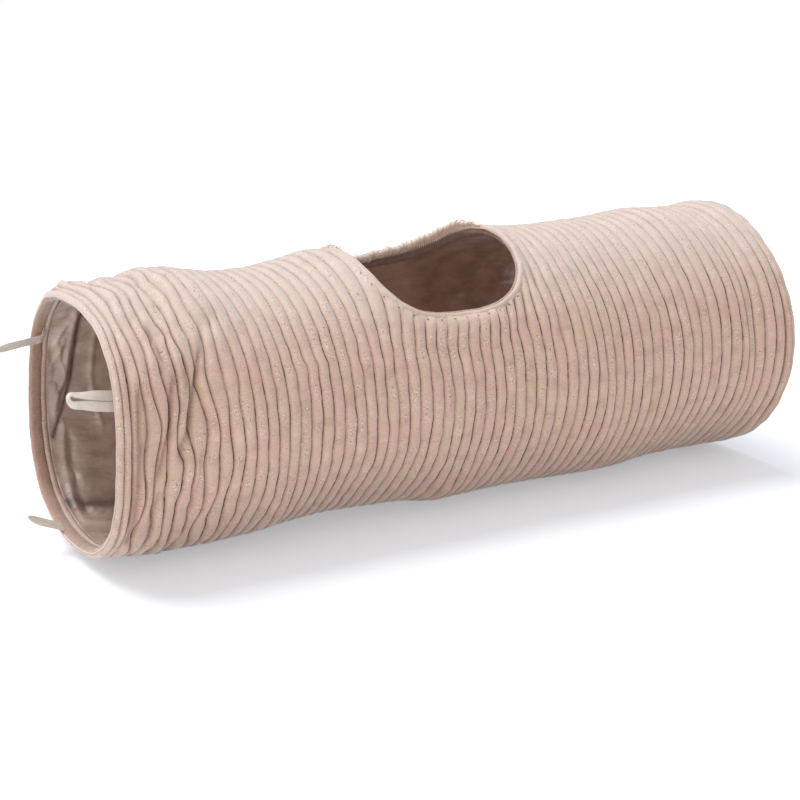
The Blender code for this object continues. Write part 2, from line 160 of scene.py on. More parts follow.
COVER_FOLDS = (
    Fold(28, 14, 13, 36, push=4),
    Fold(54, 34, 18, 38, push=3),
    Fold(54, 48, 7, 9, push=3.5),
    Fold(58, 5, 11, 16, push=-3),
    Fold(40, -48, 18, 20, push=2.5),
    Fold(55, 38, 8, 16, lean=-14, lift=4.0),
    Fold(68, 18, 5, 18, lean=8, lift=-3.0),
    Fold(45, 20, 7, 14, lean=-10, lift=2.2),
    Fold(30, 0, 6, 22, lift=-2.4),
    Fold(64, 30, 4, 16, lean=16, lift=-3.4),
    Fold(47, 5, 4, 20, lean=14, lift=-2.6),
    Fold(41, 28, 4, 12, lean=18, lift=-2.2),
    Fold(36, 38, 6, 12, lift=2.6),
    Fold(22, 30, 6, 16, lift=2.4),
    Fold(20, -6, 6, 20, lift=2.4),
    Fold(36, 12, 6, 12, lift=2.4),
    Fold(74, 44, 6, 16, lift=2.0),
    Fold(84, 22, 5, 22, lean=10, lift=-2.0),
    Fold(58, 62, 5, 18, lean=-20, lift=-2.0),
    Fold(46, 72, 6, 16, lean=-14, lift=2.2),
    Fold(70, 84, 5, 20, lean=-14, lift=-1.8),
    Fold(30, -40, 6, 22, lift=2.2),
    Fold(52, -30, 5, 24, lean=8, lift=-1.8),
    Fold(34, 60, 7, 20, lean=-30, lift=-1.4),
    Fold(26, 74, 8, 16, lean=-18, lift=1.6),
    Fold(15, 119, 12, 17, lift=8.5),
    Fold(10, -28, 9, 36, lift=3.4),
    Fold(98, 52, 6, 10, lean=-38, lift=-2.4, push=1.5),
    Fold(116, 41, 5, 12, lean=-38, lift=-1.4),
    Fold(108, 60, 9, 16, lean=-30, lift=1.2),
    Fold(168, 34, 16, 6, lift=-1.6, push=1.2),
    Fold(182, 25, 18, 6, lift=1.4, push=1.6),
    Fold(205, 30, 12, 5, lift=-1.2),
    Fold(226, 22, 16, 7, lift=1.1),
    Fold(236, 48, 8, 20, lean=-22, lift=-1.2),
    Fold(232, 96, 12, 22, lift=2.4),
    Fold(352, 33, 46, 13, lift=3.6),
    Fold(330, 22, 14, 6, lift=-1.0),
    Fold(395, 30, 7, 13, lean=-10, lift=-2.6, push=-1.5),
    Fold(418, 34, 8, 16, lean=-16, lift=2.2),
    Fold(432, 24, 6, 16, lean=-12, lift=-1.8, push=-2),
    Fold(440, 68, 9, 34, lean=-12, lift=-2.0),
    Fold(462, 30, 9, 12, lean=-20, lift=1.2),
    Fold(478, 16, 7, 9, lift=-1.4, push=1.6),
    Fold(540, 26, 12, 8, lift=1.0, push=1.0),
    Fold(575, 44, 20, 9, lean=20, lift=-1.2),
    Fold(560, 80, 9, 22, lift=1.6),
    Fold(652, 18, 6, 34, lean=-4, lift=-2.4),
    Fold(640, 6, 9, 22, lift=1.4),
    Fold(672, 12, 10, 34, lift=1.2),
    Fold(646, 98, 10, 26, lift=2.2),
    Fold(150, -52, 10, 22, lean=-12, lift=3.0),
    Fold(330, -52, 10, 22, lean=-12, lift=2.6),
    Fold(508, -52, 10, 22, lean=-12, lift=2.6),
    Fold(690, -48, 9, 20, lift=2.0),
    Fold(74, 196, 9, 24, lean=18, lift=-1.8, push=4),
    Fold(120, 168, 8, 20, lean=24, lift=1.8, push=-3),
    Fold(262, 205, 9, 26, lean=-18, lift=-1.8, push=3),
    Fold(410, 178, 10, 24, lean=16, lift=1.6, push=-3),
    Fold(520, 214, 9, 22, lean=24, lift=-1.8, push=3),
    Fold(606, 160, 10, 24, lean=-20, lift=1.8, push=-3),
)

HOLE_FOLDS = (
    Fold(368, 124, 30, 18, lift=-1.5),
    Fold(404, 108, 13, 12, lift=3.5),
    Fold(300, 122, 26, 14, lift=-6.5),
    Fold(272, 106, 10, 16, lift=-4.5),
    Fold(340, 39, 50, 6, lift=-1.4),
)

# Where the ribs past the hole are drawn together, and so stand higher
PUCKER = Fold(396, 38, 22, 26)


@dataclass(frozen=True)
class Crease:
    """A sharp line where slack cloth folds.

    Its places are millimetres along the tunnel and degrees round it, its width and lift are in millimetres.
    Its shade is how much painted shade darkens the cloth in it, or with a minus how much painted light pales
    it.
    """

    line: Steps
    width: float
    lift: float
    shade: float = 0.0

    @property
    def from_angle(self) -> float:
        """The angle opposite the crease, where the count of degrees starts."""
        return self.line[len(self.line) // 2][1] - 180.0

    def weight(self, along: Array, angle: Array, radius: float) -> Array:
        """How strongly the crease acts at each place, from 0 to 1.

        Args:
            along: distances from the near rim.
            angle: angles.
            radius: the cloth's distance from the axis.

        Returns:
            The weights.
        """
        girth = radians(1.0) * radius / MM
        across = along / MM
        run = ((np.degrees(angle) - self.from_angle) % 360.0 + self.from_angle) * girth
        nearest = np.full(np.broadcast(across, run).shape, 1e6)
        for (here, turn), (there, next_turn) in zip(self.line, self.line[1:]):
            step, rise = there - here, (next_turn - turn) * girth
            off, up = across - here, run - turn * girth
            share = np.clip((off * step + up * rise) / (step * step + rise * rise), 0.0, 1.0)
            nearest = np.minimum(nearest, np.hypot(off - share * step, up - share * rise))
        return np.exp(-nearest / self.width)


# The creases' shade values paint shade along them onto the cover
COVER_CREASES = (
    Crease(((76, 398), (69, 389), (59, 376), (55, 369), (46, 358)), 2.6, -4.6, shade=0.8),
    Crease(((48, 390), (43, 382), (36, 366), (29, 351)), 2.6, -4.2, shade=0.8),
    Crease(((40, 413), (41, 404), (42, 396)), 2.6, -3.6, shade=0.7),
    Crease(((60, 396), (58, 384)), 2.6, -3.2, shade=0.6),
    Crease(((18, 388), (16, 376), (15, 356), (14, 336), (14, 318)), 3.0, -4.6, shade=0.9),
    Crease(((30, 345), (27, 330), (28, 316)), 2.6, -3.4, shade=0.6),
    Crease(((66, 360), (62, 344), (60, 330)), 2.4, -2.0, shade=0.4),
    Crease(((88, 412), (80, 402)), 2.4, -2.2, shade=0.4),
    Crease(((62, 430), (50, 445), (44, 455)), 2.4, -2.2, shade=0.4),
    Crease(((427, 80), (425, 72), (424, 64), (424, 56), (422, 48)), 2.4, -1.6, shade=0.55),
)

# Shade values paint shade into these creases' bottoms, and below 0 paint light onto ridges and patches
LINING_CREASES = (
    Crease(((37, 138), (37, 156), (35, 170), (29, 180), (22, 190)), 3.0, 6.5),
    Crease(((44, 138), (44, 160), (41, 175), (34, 186), (27, 195), (19, 204)), 2.2, -5.0, shade=1.0),
    Crease(((20, 158), (26, 150), (33, 143)), 2.2, 3.0, shade=-0.7),
    Crease(((19, 170), (25, 162), (32, 154)), 2.2, 3.0, shade=-0.6),
    Crease(((22, 176), (29, 168), (35, 160)), 1.8, -2.0, shade=0.35),
    Crease(((20, 184), (26, 176), (32, 169)), 2.0, 2.4, shade=-0.4),
    Crease(((30, 198), (26, 214), (24, 226), (23, 238), (22, 252)), 2.8, 3.6),
    Crease(((35, 204), (33, 216), (31, 228), (29, 244)), 2.2, -4.0),
    Crease(((34, 219), (52, 221), (72, 225)), 2.2, -3.5),
    Crease(((37, 213), (55, 215), (74, 219)), 2.8, 3.2),
    Crease(((30, 229), (46, 233), (66, 236)), 2.2, -3.5),
    Crease(((31, 224), (50, 227), (68, 231)), 2.8, 3.2),
    Crease(((27, 247), (44, 252), (60, 258)), 2.4, -3.2),
    Crease(((26, 240), (44, 246), (62, 250)), 2.8, 3.6),
    Crease(((20, 150), (27, 160), (34, 176)), 2.8, 3.4),
    Crease(((20, 163), (24, 172), (31, 186)), 2.2, -2.6),
    Crease(((19, 178), (21, 186), (25, 198)), 2.8, 3.0),
    Crease(((62, 150), (60, 176), (66, 200)), 3.0, 3.2),
    Crease(((56, 262), (40, 268), (26, 272)), 2.8, 3.0),
    # Painted shade over the lower lining inside the mouth
    Crease(((18, 238), (45, 240), (75, 242)), 18.0, 0.0, shade=0.8),
    # Painted light on the back wall seen through the hole, where light from the mouth falls
    Crease(((335, 124), (362, 136), (384, 150), (394, 168)), 26.0, 0.0, shade=-1.0),
    Crease(((292, 208), (318, 214), (346, 226), (372, 240)), 3.4, 5.0),
    Crease(((300, 216), (326, 222), (352, 234)), 2.6, -3.4),
    Crease(((344, 200), (362, 214), (382, 234)), 3.2, 4.6),
    Crease(((352, 198), (372, 214), (392, 232)), 2.6, -3.2),
    Crease(((380, 206), (396, 222), (404, 244)), 3.2, 4.2),
    Crease(((310, 236), (336, 244), (360, 256)), 3.0, 3.6),
    Crease(((404, 196), (414, 216), (420, 240)), 3.0, 3.4),
)


@dataclass(frozen=True)
class PeepholeOutline:
    """The hole in the top: an oval with squared corners, longer on the front than on the back."""

    middle: float = 0.3420625
    near_half: float = 0.0805
    far_half: float = 0.0755
    angle: float = radians(85)
    front_reach: float = 0.098
    back_reach: float = 0.083
    near_power: float = 3.4
    far_power: float = 2.7
    radius: float = 0.125

    # Width of the smooth turned edge by direction, in degrees and millimetres
    band_turns: tuple[float, ...] = (-180, -150, -118, -85, -60, -30, 0, 30, 60, 150, 180)
    band_widths: tuple[float, ...] = (2, 2.5, 8.5, 9, 4, 4.5, 9.5, 9.5, 6, 4, 2)

    def offsets(self, turn: Array, outset: float) -> tuple[Array, Array]:
        """The outline, moved outwards over the cloth.

        Args:
            turn: direction from the hole's middle, in radians, 0 towards the far rim.
            outset: how far outside the hole's edge, in metres.

        Returns:
            Distances along the tunnel and angles.
        """
        power = np.where(np.cos(turn) < 0, self.near_power, self.far_power)
        girth = np.where(np.sin(turn) < 0, self.front_reach, self.back_reach)
        half = np.where(np.cos(turn) < 0, self.near_half, self.far_half)
        share = (np.abs(np.cos(turn)) ** power + np.abs(np.sin(turn)) ** power) ** (-1 / power)
        along = self.middle + (half + outset) * share * np.cos(turn)
        return along, self.angle + (girth + outset) / self.radius * share * np.sin(turn)

    def shares(self, along: Array, angle: Array) -> tuple[Array, Array, Array]:
        """Where places lie from the hole's middle.

        Args:
            along: distances from the near rim.
            angle: angles.

        Returns:
            Shares of its half length and of its reach, and the shorter of these two.
        """
        turned = half_turn(angle - self.angle)
        girth = np.where(turned < 0, self.front_reach, self.back_reach)
        half = np.where(along < self.middle, self.near_half, self.far_half)
        return (along - self.middle) / half, turned * self.radius / girth, np.minimum(girth, half)

    def turn_at(self, along: Array, angle: Array) -> Array:
        """The direction from the hole's middle in which each place lies."""
        across, around, _ = self.shares(along, angle)
        return np.arctan2(around, across)

    def distance(self, along: Array, angle: Array) -> Array:
        """How far outside the hole's edge each place lies, and below 0 inside it.

        Args:
            along: distances from the near rim.
            angle: angles.

        Returns:
            Metres.
        """
        across, around, shorter = self.shares(along, angle)
        power = np.where(across < 0, self.near_power, self.far_power)
        size = (np.abs(across) ** power + np.abs(around) ** power) ** (1 / power)
        return (size - 1) * shorter

    def band(self, along: Array, angle: Array) -> Array:
        """How wide the smooth turned edge round the hole is, in the direction of each place."""
        turn = np.degrees(self.turn_at(along, angle))
        return np.interp(turn, self.band_turns, self.band_widths) * MM


@dataclass(frozen=True)
class TunnelForm:
    """Where the cloth of the held open tunnel lies."""

    length: float = 0.700
    ridge_radius: float = 0.125
    rim_radius: float = 0.1226
    axis_height: float = 0.1223
    rib_pitch: float = 0.0109375
    rib_height: float = 0.0028
    first_turn: float = 0.0765625
    wire_pitch: float = 0.175
    sag_depth: float = 0.0048
    lining_radius: float = 0.1158
    lining_start: float = 0.016
    notch_along: float = 0.0102
    notch_depth: float = 0.0042
    notch_width: float = 0.0013
    outline: PeepholeOutline = PeepholeOutline()

    # The near mouth is squarish, lower than wide and tipped out at its lower front; the far rim is wider
    mouth_fade: float = 0.055
    mouth_wide: float = 0.038
    mouth_high: float = -0.071
    mouth_square: float = -0.034
    mouth_tip: tuple[float, float, float] = (-0.0032, 0.0053, -0.0057)
    far_fade: float = 0.060
    far_wide: float = 0.0607
    far_high: float = -0.0204
    far_raise: float = 0.0020
    far_tip: tuple[float, float] = (-0.0012, 0.0034)

    # How far the tunnel's upper and lower line stand off an even tube, in millimetres
    upper_places: tuple[float, ...] = (0, 30, 60, 75, *range(100, 661, 40), 690)
    upper_lifts: tuple[float, ...] = (
        *(0, 0.8, -2.0, 2.4, 3.2, -2.6, -3.1, 0.2, 1.5, 0),
        *(0, 3, 6, 5.9, 5.6, 5, 6, 8.3, 3, 6.3),
    )
    lower_places: tuple[float, ...] = (0, 60, *range(100, 301, 40), 335, *range(380, 661, 40), 700)
    lower_lifts: tuple[float, ...] = (
        *(0, -2.4, -2.3, -3.8, -7.5, -10, -8.8, -7.4, -1.5),
        *(-3.2, -3.6, -2.3, -1.5, -1.2, -5, -6, -4.9, 0),
    )
    upper_angle: float = radians(106)
    lower_angle: float = radians(-74)

    # How far the ribs lie from an even spacing: places along the tunnel and shifts, in millimetres
    shift_places: tuple[float, ...] = (0, 44, 120, 330, 440, 550, 604, 637, 659, 700)
    shifts: tuple[float, ...] = (0, -6, -7, -7, -4, -2, 0, 4, -2, 0)

    # The ribs past the hole are pushed away from it, and the cloth is slack up to loose_to
    yield_depth: float = 0.0035
    yield_fade: float = 0.016
    loose_from: float = 0.060
    loose_to: float = 0.140

    def wire_turns(self, along: Array, angle: Array) -> Array:
        """How many turns of the wire lie before each place."""
        return (along - self.first_turn) / self.wire_pitch - (math.pi / 2 - angle) / FULL_TURN

    def rim_distance(self, along: Array) -> Array:
        """Distance to the nearer rim."""
        return np.minimum(along, self.length - along)

    def off_bottom(self, angle: Array) -> Array:
        """Angle from the lowest line of the tunnel."""
        return np.abs(half_turn(angle + math.pi / 2))

    def sag(self, along: Array, angle: Array) -> Array:
        """How far the cover sags inwards between the turns of the wire.

        Args:
            along: distances from the near rim.
            angle: angles.

        Returns:
            Metres.
        """
        phase = self.wire_turns(along, angle) % 1.0
        skewed = np.where(phase < 0.42, phase / 0.84, 0.5 + (phase - 0.42) / 1.16)
        hang = 1 - np.abs(2 * skewed - 1) ** 2.3
        from_rim = ramp(self.rim_distance(along), 0.020, 0.070)
        off_floor = ramp(self.off_bottom(angle), radians(22), radians(65))
        return self.sag_depth * hang * from_rim * off_floor

    def waves(self, along: Array, angle: Array, seed: int, count: int, size: float) -> Array:
        """Slack in the cloth: a sum of long waves, the same on every run.

        Args:
            along: distances from the near rim.
            angle: angles.
            seed: which set of waves.
            count: how many waves.
            size: the height of the strongest one.

        Returns:
            The waves' sum at each place.
        """
        draw = np.random.default_rng(seed)
        total = np.zeros(np.broadcast(along, angle).shape)
        for _ in range(count):
            turns = signed_draw(draw, 1, 9)
            runs = draw.uniform(4.0, 60.0)
            start = draw.uniform(0.0, FULL_TURN)
            strength = size / (1 + 0.35 * abs(turns))
            total = total + strength * np.sin(turns * angle + runs * along + start)
        return total

    def rustle(
        self,
        along: Array,
        angle: Array,
        seed: int,
        count: int,
        turns: tuple[int, int],
        runs: tuple[float, float],
    ) -> Array:
        """A sum of short waves of one height, the same on every run.

        Args:
            along: distances from the near rim.
            angle: angles.
            seed: which set of waves.
            count: how many waves.
            turns: least and greatest number of each wave's crests round the tunnel.
            runs: least and greatest change of each along it, in radians to the metre.

        Returns:
            The waves' sum at each place.
        """
        draw = np.random.default_rng(seed)
        total = np.zeros(np.broadcast(along, angle).shape)
        for _ in range(count):
            around = signed_draw(draw, *turns) * angle
            total = total + np.sin(around + draw.uniform(*runs) * along + draw.uniform(0.0, FULL_TURN))
        return total

    def ripple(self, along: Array, angle: Array, size: float) -> Array:
        """Fine unevenness that differs from rib to rib, by about this size to either side."""
        return self.rustle(along, angle, 41, 12, (10, 34), (40.0, 320.0)) * size * 0.35

    def jostle(self, along: Array, angle: Array) -> Array:
        """How the ribs wander, swell and narrow beside each other, most of all near the near mouth."""
        size = 0.08 * MM + 0.48 * MM * self.looseness(along)
        return self.rustle(along, angle, 57, 10, (5, 13), (90.0, 250.0)) * size

    def looseness(self, along: Array) -> Array:
        """1 at the near mouth, where the coil doesn't hold the cloth, and 0 further in."""
        return 1 - ramp(along, self.loose_from, self.loose_to)

    def crumple(self, along: Array) -> Array:
        """How much more the cloth crumples where it is slack."""
        return 1.0 + 1.3 * self.looseness(along)

    def folds(
        self, folds: tuple[Fold | Crease, ...], along: Array, angle: Array, value: str, unit: float = MM
    ) -> Array:
        """The sum of one value of all folds.

        Args:
            folds: the folds or creases.
            along: distances from the near rim.
            angle: angles.
            value: the value's name.
            unit: what a value of 1 stands for.

        Returns:
            The sum at each place.
        """
        total = np.zeros(np.broadcast(along, angle).shape)
        for fold in folds:
            strength = getattr(fold, value)
            if strength:
                total = total + strength * unit * fold.weight(along, angle, self.ridge_radius)
        return total

    def folded(self, creases: tuple[Crease, ...], along: Array, angle: Array) -> Array:
        """How much painted shade the creases put on each place: up to 1 darker, down to -1 paler with painted
        light, 0 elsewhere.
        """
        return np.clip(self.folds(creases, along, angle, "shade", 1.0), -1.0, 1.0)

    def stand(self, along: Array, angle: Array) -> Array:
        """How far all layers stand outside an even tube, mostly along its upper and lower line.

        Args:
            along: distances from the near rim.
            angle: angles.

        Returns:
            Metres.
        """
        total = np.zeros(np.broadcast(along, angle).shape)
        for centre, places, lifts in (
            (self.upper_angle, self.upper_places, self.upper_lifts),
            (self.lower_angle, self.lower_places, self.lower_lifts),
        ):
            off = np.abs(half_turn(angle - centre))
            share = 1 - ramp(off, radians(22), radians(62))
            total = total + np.interp(along / MM, places, lifts) * MM * share
        return total

    def push(self, along: Array, angle: Array) -> Array:
        """How far the cover's ribs are pushed along the tunnel.

        Args:
            along: distances from the near rim.
            angle: angles.

        Returns:
            Metres.
        """
        base = np.interp(along / MM, self.shift_places, self.shifts) * MM
        from_rim = ramp(self.rim_distance(along), 0.004, 0.030)
        off_hole = ramp(self.outline.distance(along, angle), 0.0, 0.030)
        slack = self.waves(along, angle, 3, 14, 0.55 * MM) + self.folds(COVER_FOLDS, along, angle, "push")
        slack = slack + self.ripple(along, angle, 0.32 * MM) + self.jostle(along, angle)
        return ((base + slack) * off_hole + self.around_hole(along, angle)) * from_rim

    def around_hole(self, along: Array, angle: Array) -> Array:
        """How far the ribs give way to the peephole on its far side.

        Args:
            along: distances from the near rim.
            angle: angles.

        Returns:
            Metres.
        """
        distance = np.maximum(self.outline.distance(along, angle), 0.0)
        beside = ramp(np.abs(self.outline.turn_at(along, angle)), radians(35), radians(80))
        return self.yield_depth * np.exp(-distance / self.yield_fade) * (1 - beside)

    def lift(self, along: Array, angle: Array) -> Array:
        """How far folds raise the cover, before the floor presses it flat.

        Args:
            along: distances from the near rim.
            angle: angles.

        Returns:
            Metres.
        """
        near_hole = 1 - ramp(self.outline.distance(along, angle), 0.0, 0.045)
        bottom = ramp(self.off_bottom(angle), radians(8), radians(40))
        total = self.folds(COVER_FOLDS, along, angle, "lift") + self.waves(along, angle, 11, 12, 0.42 * MM)
        total = total + self.folds(COVER_CREASES, along, angle, "lift")
        total = total - self.ripple(along, angle, 0.20 * MM) * self.crumple(along)
        return (total + self.folds(HOLE_FOLDS, along, angle, "lift") * near_hole) * bottom

    def crest(self, along: Array, angle: Array) -> Array:
        """Radius over the tops of the ribs.

        Args:
            along: distances from the near rim.
            angle: angles.

        Returns:
            Metres.
        """
        at_rim = 1 - ramp(self.rim_distance(along), 0.004, 0.020)
        base = self.ridge_radius + (self.rim_radius - self.ridge_radius) * at_rim
        return base - self.sag(along, angle) + self.lift(along, angle)

    def rib_drop(self, along: Array, angle: Array) -> Array:
        """How far below the ribs' tops the corduroy's surface lies, at places of the flat cut.

        Args:
            along: distances from the near rim.
            angle: angles.

        Returns:
            Metres.
        """
        phase = (along / self.rib_pitch) % 1.0
        ribbing = self.ribbing(along, angle)
        side = np.abs(2 * phase - 1)
        pucker = 1 + 0.9 * PUCKER.weight(along, angle, self.ridge_radius)
        pucker = pucker + 0.8 * (1 - ramp(along, 0.050, 0.130))
        drop = self.rib_height * side**3 * ribbing * pucker
        drop = drop - self.swell(along, angle) * (1 - side**2) * ribbing
        notch = np.exp(-(((self.rim_distance(along) - self.notch_along) / self.notch_width) ** 2))
        off_front = np.abs(half_turn(angle + 0.15))
        notch = notch * (1 - 0.5 * ramp(off_front, radians(35), radians(60)))
        return np.maximum(drop, self.notch_depth * notch)

    def swell(self, along: Array, angle: Array) -> Array:
        """How far each rib swells or sinks by itself, most of all near the near mouth.

        Args:
            along: distances from the near rim.
            angle: angles.

        Returns:
            Metres.
        """
        rib = np.floor(along / self.rib_pitch)
        size = 0.22 * MM + 1.15 * MM * (1 - ramp(along, 0.055, 0.125))
        first = np.sin(5 * angle + 2.4 * rib) * np.sin(2 * angle + 1.3 * rib + 0.7)
        second = np.sin(11 * angle + 4.1 * rib + 2.0)
        bottom = ramp(self.off_bottom(angle), radians(10), radians(35))
        return size * (first + 0.55 * second) * bottom

    def ribbing(self, along: Array, angle: Array) -> Array:
        """1 where the ribs stand at full height and 0 where the cloth is turned in smooth at an edge.

        Args:
            along: distances from the near rim.
            angle: angles.

        Returns:
            Shares, from 0 to 1.
        """
        band = self.outline.band(along, angle)
        edge = ramp(self.outline.distance(along, angle) - band, 0.0, 0.004)
        return edge * ramp(self.rim_distance(along), 0.004, 0.010)

    def place(self, along: Array, angle: Array, radius: Array, raised: Array | float = 0.0) -> Array:
        """Points in the frame.

        Args:
            along: distances from the near rim.
            angle: angles.
            radius: distances from the axis.
            raised: how far above the floor the cloth stays where the floor presses it flat.

        Returns:
            An array of points.
        """
        near = 1 - ramp(along, 0.0, self.mouth_fade)
        far = ramp(along, self.length - self.far_fade, self.length) * ramp(radius, 0.1135, 0.1215)
        sine, cosine = np.sin(angle), np.cos(angle)
        reach = (radius + self.stand(along, angle)) * (1 + self.mouth_square * near * np.cos(4 * angle))
        wide = 1 + self.mouth_wide * near + self.far_wide * far
        high = 1 + self.mouth_high * near + self.far_high * far
        near_tip = self.mouth_tip[0] + self.mouth_tip[1] * sine + self.mouth_tip[2] * cosine
        far_tip = self.far_tip[0] + self.far_tip[1] * sine
        place_x = along - self.length / 2 + near * near_tip + far * far_tip
        height = self.axis_height + self.far_raise * far + reach * high * sine
        return np.stack([place_x, -reach * wide * cosine, np.maximum(height, raised)], axis=-1)

    def cover_point(self, along: Array, angle: Array, depth: Array) -> Array:
        """Points at a depth below the ribs' tops, for places of the flat cut."""
        shifted = along + self.push(along, angle)
        return self.place(shifted, angle, self.crest(shifted, angle) - depth, 0.4 * np.maximum(depth, 0.0))

    def lining_gap(self, along: Array, angle: Array) -> Array:
        """How far the lining hangs inwards from where it is sewn to the wire's casing.

        Args:
            along: distances from the near rim.
            angle: angles.

        Returns:
            Metres.
        """
        phase = self.wire_turns(along, angle) % 1.0
        between = np.abs(np.sin(math.pi * phase)) ** 0.75
        ends = ramp(self.rim_distance(along), self.lining_start + 0.001, self.lining_start + 0.012)
        bottom = 0.35 + 0.65 * ramp(self.off_bottom(angle), radians(10), radians(60))
        slack = 4.4 * MM + self.waves(along, angle, 23, 10, 0.9 * MM)
        creases = self.waves(along * 2.2, angle * 2, 31, 16, 0.85 * MM)
        hung = between * (slack * bottom + creases) + self.folds(LINING_CREASES, along, angle, "lift")
        edge = ramp(self.outline.distance(along, angle), 0.004, 0.030)
        return np.maximum(hung * ends, 0.0) * edge

    def lining_point(self, along: Array, angle: Array) -> Array:
        """Points of the lining's outer face.

        Args:
            along: distances from the near rim.
            angle: angles.

        Returns:
            An array of points.
        """
        near_hole = 1 - ramp(self.outline.distance(along, angle), 0.0, 0.020)
        radius = self.lining_radius - self.lining_gap(along, angle)
        follow = self.folds(HOLE_FOLDS, along, angle, "lift") * near_hole
        return self.place(along, angle, radius + follow)


FORM = TunnelForm()


class Finisher:
    """One material under construction: adds nodes and links them."""

    def __init__(self, name: str) -> None:
        """Starts the material.

        Args:
            name: the finish's plain name.
        """
        self.material = bpy.data.materials.new(name)
        self.material.use_nodes = True
        self.tree = self.material.node_tree
        self.shader = self.tree.nodes["Principled BSDF"]

    def node(self, kind: str, inputs: dict | None = None, **settings: object) -> bpy.types.Node:
        """Adds a node.

        Args:
            kind: the node's type.
            inputs: socket names or numbers, with a value or a socket to link.
            settings: the node's own properties.

        Returns:
            The new node.
        """
        made = self.tree.nodes.new(kind)
        for name, value in settings.items():
            setattr(made, name, value)
        for key, value in (inputs or {}).items():
            self.feed(made.inputs[key], value)
        return made

    def feed(self, socket: Socket, value: object) -> None:
        """Links a socket to another, or sets its value.

        Args:
            socket: the socket.
            value: a socket to link, or a value.
        """
        if isinstance(value, Socket):
            self.tree.links.new(value, socket)
        else:
            socket.default_value = value

    def maths(self, operation: str, *values: object) -> Socket:
        """The result of a Math node."""
        return self.node("ShaderNodeMath", dict(enumerate(values)), operation=operation).outputs[0]

    def plus(self, first: object, second: object) -> Socket:
        """The sum of two values."""
        return self.maths("ADD", first, second)

    def times(self, first: object, second: object) -> Socket:
        """The product of two values."""
        return self.maths("MULTIPLY", first, second)

    def between(self, value: Socket, low: float, high: float) -> Socket:
        """0 below low, 1 above high and a smooth rise between."""
        inputs = {"Value": value, "From Min": low, "From Max": high}
        return self.node("ShaderNodeMapRange", inputs, interpolation_type="SMOOTHSTEP").outputs["Result"]

    def mixed(self, share: object, first: object, second: object, blend: str = "MIX") -> Socket:
        """A mix of two colours."""
        inputs = {"Factor": share, "A": first, "B": second}
        return self.node("ShaderNodeMix", inputs, data_type="RGBA", blend_type=blend).outputs["Result"]

    def noise(self, vector: object, scale: float, detail: float = 2.0, roughness: float = 0.5) -> Socket:
        """A noise pattern's value."""
        inputs = {"Vector": vector, "Scale": scale, "Detail": detail, "Roughness": roughness}
        return self.node("ShaderNodeTexNoise", inputs).outputs["Fac"]

    def stretched(self, vector: object, x: float, y: float) -> Socket:
        """Coordinates scaled by axis."""
        return self.node("ShaderNodeMapping", {"Vector": vector, "Scale": (x, y, 1.0)}).outputs["Vector"]

    def axis(self, vector: object, name: str) -> Socket:
        """One axis of a vector."""
        return self.node("ShaderNodeSeparateXYZ", {"Vector": vector}).outputs[name]

    def marked(self, name: str) -> Socket:
        """A number that the mesh keeps at its vertices."""
        return self.node("ShaderNodeAttribute", attribute_name=name).outputs["Fac"]

    def cut_places(self) -> Socket:
        """Places on the flat cut, in metres."""
        return self.node("ShaderNodeUVMap", uv_map=CUT_MAP).outputs["UV"]

    def object_places(self) -> Socket:
        """Places in the frame, in metres."""
        return self.node("ShaderNodeTexCoord").outputs["Object"]

    def height(self) -> Socket:
        """How high above the floor each place lies, in metres."""
        return self.axis(self.object_places(), "Z")

    def paint(self, colour: Socket) -> None:
        """Gives the shader its colour."""
        self.feed(self.shader.inputs["Base Color"], colour)

    def bump(self, height: Socket, distance: float, strength: float = 1.0) -> None:
        """Gives the shader a relief of this height."""
        made = self.node("ShaderNodeBump", {"Height": height, "Distance": distance, "Strength": strength})
        self.feed(self.shader.inputs["Normal"], made.outputs["Normal"])

    def settle(self, **values: object) -> None:
        """Sets plain sockets of the shader, named with underscores for spaces."""
        for name, value in values.items():
            self.feed(self.shader.inputs[name.replace("_", " ")], value)


